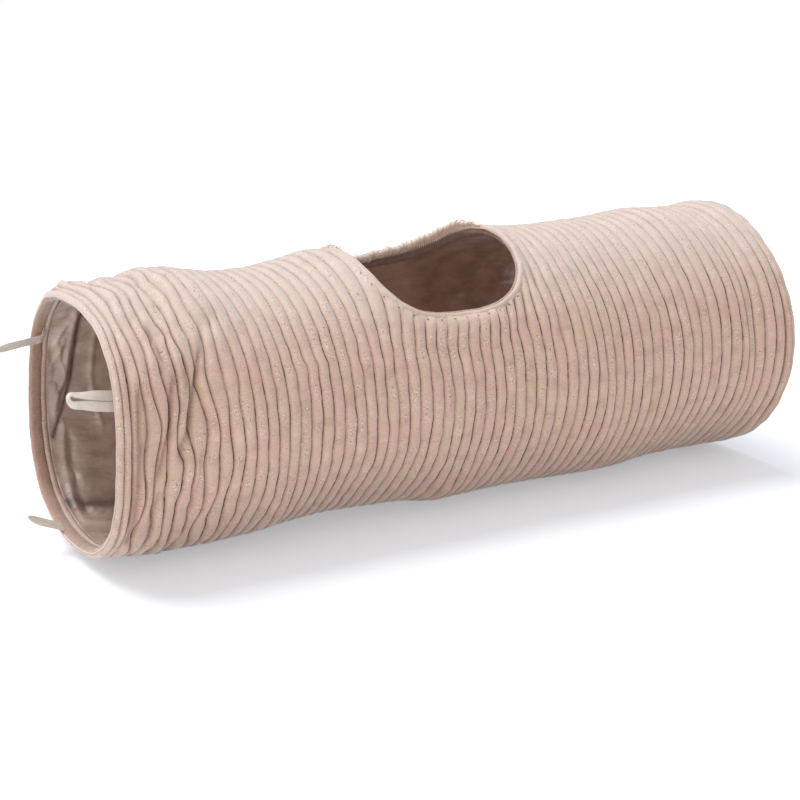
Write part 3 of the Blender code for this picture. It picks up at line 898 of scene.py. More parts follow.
@dataclass(frozen=True)
class Corduroy:
    """Wide ribbed corduroy with a short, soft pile; painted light pales its top, and painted shade darkens
    its grooves, creases and inner flaps.
    """

    name: str = "corduroy"
    rosy: Colour = (0.720, 0.455, 0.355, 1.0)
    sandy: Colour = (0.700, 0.480, 0.345, 1.0)
    pale: Colour = (0.780, 0.545, 0.425, 1.0)
    shade: Colour = (0.620, 0.405, 0.300, 1.0)
    groove: Colour = (0.215, 0.098, 0.052, 1.0)
    speck: Colour = (0.950, 0.820, 0.740, 1.0)
    # Painted light: the paler colour painted over the top of the tunnel, where light from above falls
    top_light: Colour = (0.730, 0.625, 0.565, 1.0)
    ribbed: bool = True
    crumple: float = 2.1
    # Painted shade: past this place across the cut, the binding's inner flap inside the mouth is darkened by
    # the next colour
    inner_shade_from: float = 1.0
    turned: Colour = (0.62, 0.56, 0.53, 1.0)
    tick: Colour = (0.2, 0.19, 0.18, 1.0)
    tick_share: float = 0.35
    # Painted light: how strongly the paler top colour is painted on
    top_light_share: float = 0.62
    pile_relief: float = 0.00035

    def material(self) -> bpy.types.Material:
        """Builds the finish.

        Returns:
            The material.
        """
        make = Finisher(self.name)
        cut = make.cut_places()
        hue = make.noise(make.stretched(cut, 1.0, 0.7), 36.0, 2.0)
        depth = make.noise(cut, 62.0, 3.0)
        if self.ribbed:
            lane = self.lane(make, cut, 3.7, 16.0)
            hue = make.plus(make.times(hue, 0.85), make.times(make.noise(lane, 1.0), 0.15))
            depth = make.plus(make.times(depth, 0.75), make.times(make.noise(lane, 1.7), 0.25))
        tone = make.mixed(make.between(hue, 0.43, 0.57), self.rosy, self.sandy)
        tone = make.mixed(make.between(depth, 0.50, 0.36), tone, self.shade)
        base = make.mixed(make.between(depth, 0.54, 0.70), tone, self.pale)
        ticks = make.noise(make.stretched(cut, 0.22, 1.0), 900.0, 2.0)
        base = make.mixed(self.tick_share, base, make.mixed(ticks, self.tick, WHITE), "SOFT_LIGHT")
        # Painted light: the colour is painted paler towards the top, where the light from above falls
        near_top = make.between(make.height(), 0.165, 0.245)
        base = make.mixed(make.times(near_top, self.top_light_share), base, self.top_light)
        base = self.specks(make, cut, base)
        if not self.ribbed:
            # Painted shade: the inner flap, which lies in shade inside the mouth, is darkened
            inner = make.between(make.axis(cut, "X"), self.inner_shade_from, self.inner_shade_from + 2 * MM)
            base = make.mixed(inner, base, make.mixed(1.0, base, self.turned, "MULTIPLY"))
        relief = make.times(make.noise(cut, 2300.0, 2.0), 0.5)
        rumpled = make.noise(make.stretched(cut, 1.0, 0.55), 210.0, 3.0, 0.55)
        relief = make.plus(relief, make.times(rumpled, self.crumple))
        if self.ribbed:
            # Painted shade: the cloth darkens towards the bottom of each crease
            crease_shade = make.between(make.marked(PAINTED_CREASE_SHADE), 0.0, 0.9)
            base = make.mixed(make.times(crease_shade, 0.60), base, self.groove)
            # The groove line: the darker backing between the wales, deepened with painted shade
            line = self.line(make, cut)
            base = make.mixed(line, base, self.groove)
            relief = make.maths("SUBTRACT", relief, line)
        make.bump(relief, self.pile_relief)
        make.paint(base)
        make.settle(Roughness=0.74, Specular_IOR_Level=0.50)
        make.settle(Sheen_Weight=1.0, Sheen_Roughness=0.36, Sheen_Tint=(1.0, 0.98, 0.96, 1.0))
        return make.material

    def lane(self, make: Finisher, cut: Socket, apart: float, run: float, shift: float = 0.0) -> Socket:
        """Coordinates that jump from rib to rib and drift along each.

        Args:
            make: the material under construction.
            cut: places on the flat cut.
            apart: the jump from one rib to the next.
            run: how fast they drift, to the metre.
            shift: 0.5 where they jump from line to line instead.

        Returns:
            The coordinates.
        """
        ribs = make.maths("DIVIDE", make.axis(cut, "X"), FORM.rib_pitch)
        across = make.times(make.maths("FLOOR", make.plus(ribs, shift)), apart)
        drift = make.times(make.axis(cut, "Y"), run)
        return make.node("ShaderNodeCombineXYZ", {"X": across, "Y": drift}).outputs["Vector"]

    def off_crown(self, make: Finisher, cut: Socket) -> Socket:
        """How far each place is from the middle of its rib, as a share of the ribs' spacing."""
        phase = make.maths("FRACT", make.maths("DIVIDE", make.axis(cut, "X"), FORM.rib_pitch))
        return make.maths("ABSOLUTE", make.maths("SUBTRACT", phase, 0.5))

    def specks(self, make: Finisher, cut: Socket, base: Socket) -> Socket:
        """Light and dark flecks of pile, in rows along the middle of some ribs.

        Args:
            make: the material in the making.
            cut: places on the flat cut.
            base: the colour so far.

        Returns:
            The colour with its flecks.
        """
        cluster = make.plus(make.times(make.between(make.noise(cut, 34.0, 2.0), 0.50, 0.60), 0.65), 0.35)
        where = make.between(make.noise(cut, 60.0, 3.0), 0.54, 0.64)
        if self.ribbed:
            where = make.between(make.noise(self.lane(make, cut, 5.3, 34.0), 1.0, 1.0), 0.50, 0.60)
            where = make.times(where, make.between(self.off_crown(make, cut), 0.30, 0.16))
        where = make.maths("MAXIMUM", where, make.times(cluster, 0.55))
        grains = make.between(make.noise(make.stretched(cut, 0.6, 1.0), 760.0, 1.0), 0.60, 0.67)
        base = make.mixed(make.times(make.times(where, grains), 0.90), base, self.speck)
        pits = make.between(make.noise(make.stretched(cut, 0.9, 0.5), 820.0, 1.0), 0.61, 0.68)
        return make.mixed(make.times(make.times(where, pits), 0.65), base, self.groove)

    def line(self, make: Finisher, cut: Socket) -> Socket:
        """The dark line between two ribs, part darker backing and part painted shade, uneven, paler on top
        with painted light, which ends where the cloth is turned in.

        Args:
            make: the material in the making.
            cut: places on the flat cut.

        Returns:
            Its strength, from 0 to 1.
        """
        off = self.off_crown(make, cut)
        wobble = make.times(make.maths("SUBTRACT", make.noise(cut, 420.0, 2.0), 0.5), 0.07)
        thin = make.between(make.plus(off, wobble), 0.422, 0.472)
        patchy = make.between(make.noise(cut, 75.0), 0.30, 0.62)
        dashed = make.between(make.noise(make.stretched(cut, 1.0, 0.5), 420.0, 1.0), 0.36, 0.60)
        depth = make.plus(make.plus(make.times(patchy, 0.34), make.times(dashed, 0.26)), 0.28)
        own = make.between(make.noise(self.lane(make, cut, 6.1, 9.0, 0.5), 1.0), 0.38, 0.60)
        depth = make.times(depth, make.plus(make.times(own, 0.60), 0.72))
        # Painted shade: a soft darkening towards each groove
        soft = make.times(make.between(off, 0.26, 0.48), 0.26)
        total = make.maths("MAXIMUM", make.times(thin, depth), soft)
        # Painted light: the line fades towards the top, where light from above fills the grooves
        top_light_fade = make.maths("SUBTRACT", 1.0, make.times(make.between(make.height(), 0.185, 0.240), 0.58))
        return make.times(make.times(total, top_light_fade), make.marked(RIBBING))


@dataclass(frozen=True)
class Satin:
    """Thin satin lining with a fine weave and soft creases, with painted shade and light in its creases and
    painted bounce light deeper in.
    """

    name: str = "satin"
    light: Colour = (0.545, 0.402, 0.325, 1.0)
    dark: Colour = (0.415, 0.285, 0.225, 1.0)
    # Painted shade for the creases' bottoms and painted light for their ridges
    deep: Colour = (0.140, 0.085, 0.065, 1.0)
    bright: Colour = (0.720, 0.560, 0.470, 1.0)
    # Painted light: the warmer, darker tint of light bounced between the walls deeper inside, and where it
    # starts on the cut
    bounce_tint: Colour = (0.90, 0.76, 0.70, 1.0)
    bounce_tint_from: float = 0.18
    bounce_tint_to: float = 0.23

    def material(self) -> bpy.types.Material:
        """Builds the finish.

        Returns:
            The material.
        """
        make = Finisher(self.name)
        cut = make.cut_places()
        patches = make.noise(cut, 46.0, 3.0)
        base = make.mixed(make.between(patches, 0.34, 0.66), self.dark, self.light)
        folded = make.marked(PAINTED_CREASE_SHADE)
        # Painted shade in the creases' bottoms, and painted light on their ridges and on the lit patch
        base = make.mixed(make.between(folded, 0.15, 0.85), base, self.deep)
        base = make.mixed(make.between(folded, -0.15, -0.8), base, self.bright)
        # Painted light: deeper in than the mouth the lining is tinted warmer and darker, as by light bounced
        # inside
        bounce_tint = make.mixed(1.0, base, self.bounce_tint, "MULTIPLY")
        past_mouth = make.between(make.axis(cut, "X"), self.bounce_tint_from, self.bounce_tint_to)
        base = make.mixed(past_mouth, base, bounce_tint)
        threads = make.noise(make.stretched(cut, 0.12, 1.0), 2600.0, 2.0)
        soft = make.noise(make.stretched(cut, 0.45, 1.0), 75.0, 2.0, 0.5)
        fine = make.noise(make.stretched(cut, 0.6, 1.0), 210.0, 2.0, 0.5)
        relief = make.plus(soft, make.times(fine, 0.16))
        make.bump(make.plus(make.times(threads, 0.03), relief), 0.0045, 0.8)
        make.paint(base)
        make.settle(Roughness=0.34, Specular_IOR_Level=0.60, Sheen_Weight=0.30, Sheen_Roughness=0.30)
        make.settle(Sheen_Tint=(1.0, 0.95, 0.92, 1.0))
        return make.material


@dataclass(frozen=True)
class TapeWeave:
    """Flat woven tape with a slight shine and firm edges."""

    name: str = "tape"
    light: Colour = (0.800, 0.690, 0.590, 1.0)
    dark: Colour = (0.660, 0.550, 0.460, 1.0)
    pick: float = 0.0006
    end_pick: float = 0.00048

    def material(self) -> bpy.types.Material:
        """Builds the finish.

        Returns:
            The material.
        """
        make = Finisher(self.name)
        cut = make.cut_places()
        beat = make.maths("SINE", make.times(make.axis(cut, "X"), FULL_TURN / self.pick))
        across = make.maths("SINE", make.times(make.axis(cut, "Y"), FULL_TURN / self.end_pick))
        weave = make.times(beat, across)
        wear = make.noise(cut, 180.0, 3.0)
        base = make.mixed(make.between(wear, 0.30, 0.75), self.dark, self.light)
        base = make.mixed(make.between(weave, -1.0, 1.0), base, self.light)
        make.bump(weave, 0.00006, 0.8)
        make.paint(base)
        make.settle(Roughness=0.50, Specular_IOR_Level=0.35, Sheen_Weight=0.15, Sheen_Roughness=0.4)
        return make.material


@dataclass(frozen=True)
class Thread:
    """Twisted sewing thread, or with more sheen the raw edge of the pile."""

    name: str = "thread"
    light: Colour = (0.720, 0.480, 0.380, 1.0)
    dark: Colour = (0.480, 0.290, 0.220, 1.0)
    sheen: float = 0.2

    def material(self) -> bpy.types.Material:
        """Builds the finish.

        Returns:
            The material.
        """
        make = Finisher(self.name)
        places = make.object_places()
        twist = make.noise(places, 1400.0, 2.0)
        make.paint(make.mixed(make.between(twist, 0.35, 0.65), self.dark, self.light))
        make.bump(twist, 0.00015)
        make.settle(Roughness=0.55, Specular_IOR_Level=0.3, Sheen_Weight=self.sheen, Sheen_Roughness=0.4)
        return make.material


@dataclass(frozen=True)
class SpringSteel:
    """Drawn spring wire, dull grey with fine scratches."""

    name: str = "spring_steel"
    light: Colour = (0.56, 0.56, 0.58, 1.0)
    dark: Colour = (0.34, 0.34, 0.36, 1.0)

    def material(self) -> bpy.types.Material:
        """Builds the finish.

        Returns:
            The material.
        """
        make = Finisher(self.name)
        places = make.object_places()
        drawn = make.noise(places, 700.0, 4.0)
        make.paint(make.mixed(make.between(drawn, 0.3, 0.7), self.dark, self.light))
        make.feed(make.shader.inputs["Roughness"], make.between(make.noise(places, 240.0), -0.4, 1.8))
        make.bump(drawn, 0.00005)
        make.settle(Metallic=1.0)
        return make.material


@dataclass(frozen=True)
class MouldedButton:
    """A moulded plastic button with faint clouds in it."""

    name: str = "button"
    light: Colour = (0.52, 0.39, 0.32, 1.0)
    dark: Colour = (0.34, 0.24, 0.19, 1.0)

    def material(self) -> bpy.types.Material:
        """Builds the finish.

        Returns:
            The material.
        """
        make = Finisher(self.name)
        places = make.object_places()
        clouds = make.noise(places, 230.0, 3.0)
        make.paint(make.mixed(make.between(clouds, 0.35, 0.65), self.dark, self.light))
        make.bump(make.noise(places, 900.0, 2.0), 0.00004)
        make.settle(Roughness=0.34, Coat_Weight=0.25, Coat_Roughness=0.2)
        return make.material


class Finishes:
    """Every finish of the tunnel, built once."""

    def __init__(self) -> None:
        """Builds the materials."""
        self.corduroy = Corduroy().material()
        self.plain_corduroy = Corduroy(
            name="corduroy_band",
            pale=(0.700, 0.490, 0.400, 1.0),
            rosy=(0.650, 0.415, 0.340, 1.0),
            sandy=(0.640, 0.460, 0.345, 1.0),
            ribbed=False,
        ).material()
        # The binding's inner flap gets painted shade from the given place on its cut
        self.binding = Corduroy(
            name="corduroy_binding",
            pale=(0.740, 0.520, 0.410, 1.0),
            rosy=(0.680, 0.440, 0.350, 1.0),
            sandy=(0.670, 0.470, 0.350, 1.0),
            ribbed=False,
            crumple=3.4,
            inner_shade_from=0.0165,
        ).material()
        self.satin = Satin().material()
        self.tape = TapeWeave().material()
        self.casing_tape = TapeWeave(
            "casing_tape", (0.45, 0.35, 0.29, 1.0), (0.33, 0.25, 0.21, 1.0)
        ).material()
        # Partly painted shade: the hem's facing tape is dark brown so that it reads as the shaded inside of
        # the hole
        self.hem_tape = TapeWeave("hem_tape", (0.30, 0.185, 0.14, 1.0), (0.22, 0.13, 0.10, 1.0)).material()
        # Painted highlight: the pale cord on each rim's nose stands for light caught by the fold's edge
        self.nose_highlight = Thread("nose_highlight", (0.82, 0.66, 0.57, 1.0), (0.66, 0.49, 0.41, 1.0)).material()
        self.thread = Thread().material()
        self.fuzz = Thread("raw_edge", (0.96, 0.83, 0.72, 1.0), (0.80, 0.60, 0.49, 1.0), sheen=0.9).material()
        self.overlock = Thread("overlock_thread", (0.92, 0.72, 0.56, 1.0), (0.62, 0.36, 0.24, 1.0)).material()
        self.seam_thread = Thread("seam_thread", (0.34, 0.23, 0.19, 1.0), (0.20, 0.13, 0.11, 1.0)).material()
        self.steel = SpringSteel().material()
        self.button = MouldedButton().material()


def deselect_all() -> None:
    """Deselects every object, because the loaded nodes are selected."""
    for other in bpy.context.view_layer.objects:
        other.select_set(False)


def select_only(piece: Piece) -> None:
    """Deselects everything, then selects one object and makes it active.

    Args:
        piece: the piece.
    """
    deselect_all()
    piece.select_set(True)
    bpy.context.view_layer.objects.active = piece


def apply_modifiers(piece: Piece) -> None:
    """Applies all modifiers of a piece.

    Args:
        piece: the piece.
    """
    select_only(piece)
    for name in [modifier.name for modifier in piece.modifiers]:
        bpy.ops.object.modifier_apply(modifier=name)


@dataclass
class FlatCut:
    """A flat grid of cloth, which is cut, shaped and then thickened.

    Attributes:
        name: the piece's name.
        alongs: places of its columns on the flat cut, in metres.
        girths: places of its rows on the flat cut, in metres.
    """

    name: str
    alongs: Array
    girths: Array
    piece: Piece = field(init=False)

    def __post_init__(self) -> None:
        """Adds the grid and spaces its rows and columns."""
        deselect_all()
        columns, rows = len(self.alongs) - 1, len(self.girths) - 1
        bpy.ops.mesh.primitive_grid_add(x_subdivisions=columns, y_subdivisions=rows, size=1, calc_uvs=True)
        self.piece = bpy.context.object
        self.piece.name = self.piece.data.name = self.name
        self.piece.data.uv_layers[0].name = CUT_MAP
        places = self.places()
        column = np.rint((places[:, 0] + 0.5) * columns).astype(int)
        row = np.rint((places[:, 1] + 0.5) * rows).astype(int)
        self.move(np.stack([self.alongs[column], self.girths[row], np.zeros(len(places))], axis=-1))

    def places(self) -> Array:
        """The vertices' places.

        Returns:
            An array of points.
        """
        flat = np.zeros(len(self.piece.data.vertices) * 3)
        self.piece.data.vertices.foreach_get("co", flat)
        return flat.reshape(-1, 3)

    def move(self, places: Array) -> None:
        """Moves all vertices."""
        self.piece.data.vertices.foreach_set("co", np.asarray(places, float).ravel())
        self.piece.data.update()

    def cut_hole(self, outline: PeepholeOutline, outset: float, start_angle: float) -> None:
        """Cuts the peephole out of the flat cloth, its edge smooth.

        Args:
            outline: the hole.
            outset: how far outside the hole's edge the cloth ends.
            start_angle: the angle at the cut's first row.
        """
        places = self.places()
        angle = start_angle + places[:, 1] / outline.radius
        inside = outline.distance(places[:, 0], angle) < outset
        select_only(self.piece)
        bpy.ops.object.mode_set(mode="EDIT")
        bpy.ops.mesh.select_mode(type="VERT")
        bpy.ops.mesh.select_all(action="DESELECT")
        bpy.ops.object.mode_set(mode="OBJECT")
        self.piece.data.vertices.foreach_set("select", inside)
        bpy.ops.object.mode_set(mode="EDIT")
        bpy.ops.mesh.delete(type="VERT")
        bpy.ops.object.mode_set(mode="OBJECT")
        places = self.places()
        edges = bmesh.new()
        edges.from_mesh(self.piece.data)
        rim = sorted({v.index for e in edges.edges if e.is_boundary for v in e.verts})
        edges.free()
        low, high = places.min(axis=0) + 10 * MM, places.max(axis=0) - 10 * MM
        inner = [i for i in rim if (low < places[i])[:2].all() and (places[i] < high)[:2].all()]
        turn = outline.turn_at(places[inner, 0], start_angle + places[inner, 1] / outline.radius)
        along, angle = outline.offsets(turn, outset)
        places[inner, 0] = along
        places[inner, 1] = (angle - start_angle) * outline.radius
        self.move(places)

    def keep_cut(self, start: float = 0.0) -> Array:
        """Writes the flat places into the UV map, in metres.

        Args:
            start: what the map counts as the first column's place.

        Returns:
            The places.
        """
        places = self.places()
        corners = np.zeros(len(self.piece.data.loops), int)
        self.piece.data.loops.foreach_get("vertex_index", corners)
        layer = self.piece.data.uv_layers[CUT_MAP]
        flat = places[corners, :2] - places.min(axis=0)[:2] + (start, 0.0)
        layer.data.foreach_set("uv", flat.ravel())
        return places

    def mark(self, name: str, values: Array) -> None:
        """Keeps a number at every vertex, which the material reads by its name."""
        layer = self.piece.data.attributes.new(name, "FLOAT", "POINT")
        layer.data.foreach_set("value", values)

    def weld(self) -> None:
        """Joins the edges that the rolling brought together."""
        select_only(self.piece)
        bpy.ops.object.mode_set(mode="EDIT")
        bpy.ops.mesh.select_all(action="SELECT")
        bpy.ops.mesh.remove_doubles(threshold=0.02 * MM)
        bpy.ops.object.mode_set(mode="OBJECT")

    def thicken(self, thickness: float, smooth_angle: float | None = None) -> Piece:
        """Gives the cloth its thickness, away from its face, and smooths it.

        Args:
            thickness: the wall, in metres.
            smooth_angle: edges sharper than this stay sharp, in degrees, or none.

        Returns:
            The finished piece.
        """
        wall = self.piece.modifiers.new("thickness", "SOLIDIFY")
        wall.thickness = thickness
        wall.offset = -1
        apply_modifiers(self.piece)
        if smooth_angle is None:
            bpy.ops.object.shade_smooth()
        else:
            bpy.ops.object.shade_smooth_by_angle(angle=radians(smooth_angle))
        return self.piece


def dress(piece: Piece, material: bpy.types.Material) -> Piece:
    """Gives a piece its one material.

    Args:
        piece: the piece.
        material: its material.

    Returns:
        The same piece.
    """
    piece.data.materials.clear()
    piece.data.materials.append(material)
    return piece


def tube_from_line(
    name: str, points: Array, radius: float, closed: bool, sides: int = 1, swell: Array | None = None
) -> Piece:
    """A round thread or wire along a line of points.

    Args:
        name: the piece's name.
        points: the line, in the frame.
        radius: half its thickness.
        closed: whether the last point joins the first.
        sides: how round it is, as a bevel resolution.
        swell: how thick it is at each point, as a share of the radius, or none where it is even.

    Returns:
        The piece, as a mesh.
    """
    curve = bpy.data.curves.new(name, "CURVE")
    curve.dimensions = "3D"
    curve.bevel_depth = radius
    curve.bevel_resolution = sides
    curve.use_fill_caps = True
    line = curve.splines.new("POLY")
    line.points.add(len(points) - 1)
    line.points.foreach_set("co", np.c_[points, np.ones(len(points))].ravel())
    if swell is not None:
        line.points.foreach_set("radius", swell)
    line.use_cyclic_u = closed
    piece = bpy.data.objects.new(name, curve)
    bpy.context.scene.collection.objects.link(piece)
    select_only(piece)
    bpy.ops.object.convert(target="MESH")
    piece = bpy.context.object
    bpy.ops.object.shade_smooth()
    return piece


@dataclass(frozen=True)
class StitchShape:
    """One stitch that shows on the cloth: a short bead of thread."""

    length: float = 0.0026
    thickness: float = 0.0006

    def row(self, name: str, points: Array, heads: Array, ups: Array) -> Piece:
        """Copies the stitch to every place of a row and joins the copies.

        Args:
            name: the row's name.
            points: the stitches' middles.
            heads: the direction in which each stitch runs.
            ups: the cloth's outward direction at each.

        Returns:
            The row, as one piece.
        """
        deselect_all()
        bpy.ops.mesh.primitive_uv_sphere_add(segments=6, ring_count=4, radius=0.5)
        model = bpy.context.object
        model.data.transform(Matrix.Diagonal((self.length, self.thickness, self.thickness, 1.0)))
        copies = []
        for point, head, up in zip(points, heads, ups):
            ahead = Vector(head).normalized()
            side = Vector(up).cross(ahead).normalized()
            turn = Matrix((ahead, side, ahead.cross(side))).transposed().to_4x4()
            twin = bpy.data.objects.new(name, model.data.copy())
            twin.data.transform(Matrix.Translation(Vector(point)) @ turn)
            bpy.context.scene.collection.objects.link(twin)
            copies.append(twin)
        bpy.data.objects.remove(model)
        deselect_all()
        for twin in copies:
            twin.select_set(True)
        bpy.context.view_layer.objects.active = copies[0]
        bpy.ops.object.join()
        bpy.ops.object.shade_smooth()
        piece = bpy.context.object
        piece.name = piece.data.name = name
        return piece


@dataclass(frozen=True)
class FoldUp:
    """Where a cloth piece hangs: on the near end of the tunnel."""

    joint: str = "collapse"
    anchor_along: float = 0.0055
    travel: float = 0.625
    span: float = 0.689

    def follow(self, piece: Piece) -> Piece:
        """Makes a finished piece ride on the near end, with its own copy of its mesh.

        Args:
            piece: the piece.

        Returns:
            The same piece.
        """
        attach(piece, "near_end")
        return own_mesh(piece)


FOLD_UP = FoldUp()
SEAM_ANGLE = -math.pi / 2
BAYS = ("bay_1", "bay_2", "bay_3")


@dataclass
class Cover:
    """The corduroy tube."""

    finishes: Finishes
    start: float = 0.0055
    end: float = 0.6945
    thickness: float = 0.0016
    girth_steps: int = 118
    rib_shares: tuple[float, ...] = (0.0, 0.05, 0.18, 0.5, 0.82, 0.95)
    mouth_shares: tuple[float, ...] = (0.0, 0.05, 0.13, 0.24, 0.37, 0.5, 0.63, 0.76, 0.87, 0.95)
    mouth_ribs: int = 8
    hole_outset: float = 0.0015
    girth: float = FULL_TURN * FORM.ridge_radius
    cut_length: float = 0.689
    hole_area: float = 0.0245

    def columns(self) -> Array:
        """Places of the rings along the flat cut: ten to a rib near the mouth and six elsewhere.

        Returns:
            Distances from the near rim, rising.
        """
        places = []
        for rib in range(round(FORM.length / FORM.rib_pitch)):
            shares = self.mouth_shares if rib < self.mouth_ribs else self.rib_shares
            places += [(rib + share) * FORM.rib_pitch for share in shares]
        gap = 1.5 * MM
        inside = [place for place in places if self.start + gap < place < self.end - gap]
        return np.array([self.start, *inside, self.end])

    def build(self) -> Piece:
        """Cuts, rolls and dresses the cover.

        Returns:
            The piece.
        """
        cloth = FlatCut("cover", self.columns(), np.linspace(0.0, self.girth, self.girth_steps + 1))
        cloth.cut_hole(FORM.outline, self.hole_outset, SEAM_ANGLE)
        places = cloth.keep_cut(self.start)
        along, angle = places[:, 0], SEAM_ANGLE + places[:, 1] / FORM.ridge_radius
        cloth.mark(RIBBING, FORM.ribbing(along, angle))
        # Keeps the creases' painted shade for the material
        cloth.mark(PAINTED_CREASE_SHADE, FORM.folded(COVER_CREASES, along + FORM.push(along, angle), angle))
        cloth.move(FORM.cover_point(along, angle, FORM.rib_drop(along, angle)))
        cloth.weld()
        piece = dress(cloth.thicken(self.thickness), self.finishes.corduroy)
        FOLD_UP.follow(piece)
        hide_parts("near_cover", *[f"cover_{bay}" for bay in BAYS], "far_cover")
        return piece


@dataclass
class Lining:
    """The satin tube inside the cover."""

    finishes: Finishes
    thickness: float = 0.0008
    mouth_steps: int = 60
    mouth_end: float = 0.100
    length_steps: int = 170
    girth_steps: int = 200
    hole_outset: float = 0.0055
    hole_area: float = 0.0245

    def build(self) -> Piece:
        """Cuts, rolls and dresses the lining.

        Returns:
            The piece.
        """
        start, end = FORM.lining_start, FORM.length - FORM.lining_start
        girth = FULL_TURN * FORM.ridge_radius
        mouth = np.linspace(start, self.mouth_end, self.mouth_steps + 1)[:-1]
        columns = np.r_[mouth, np.linspace(self.mouth_end, end, self.length_steps + 1)]
        cloth = FlatCut("lining", columns, np.linspace(0.0, girth, self.girth_steps + 1))
        cloth.cut_hole(FORM.outline, self.hole_outset, SEAM_ANGLE)
        places = cloth.keep_cut()
        along, angle = places[:, 0], SEAM_ANGLE + places[:, 1] / FORM.ridge_radius
        # Keeps the creases' painted shade and light for the material
        cloth.mark(PAINTED_CREASE_SHADE, FORM.folded(LINING_CREASES, along, angle))
        cloth.move(FORM.lining_point(along, angle))
        cloth.weld()
        piece = dress(cloth.thicken(self.thickness), self.finishes.satin)
        FOLD_UP.follow(piece)
        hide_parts("near_lining", *[f"lining_{bay}" for bay in BAYS], "far_lining")
        return piece


class RimEnd(Enum):
    """Which end of the tunnel a rim closes."""

    NEAR = "near"
    FAR = "far"


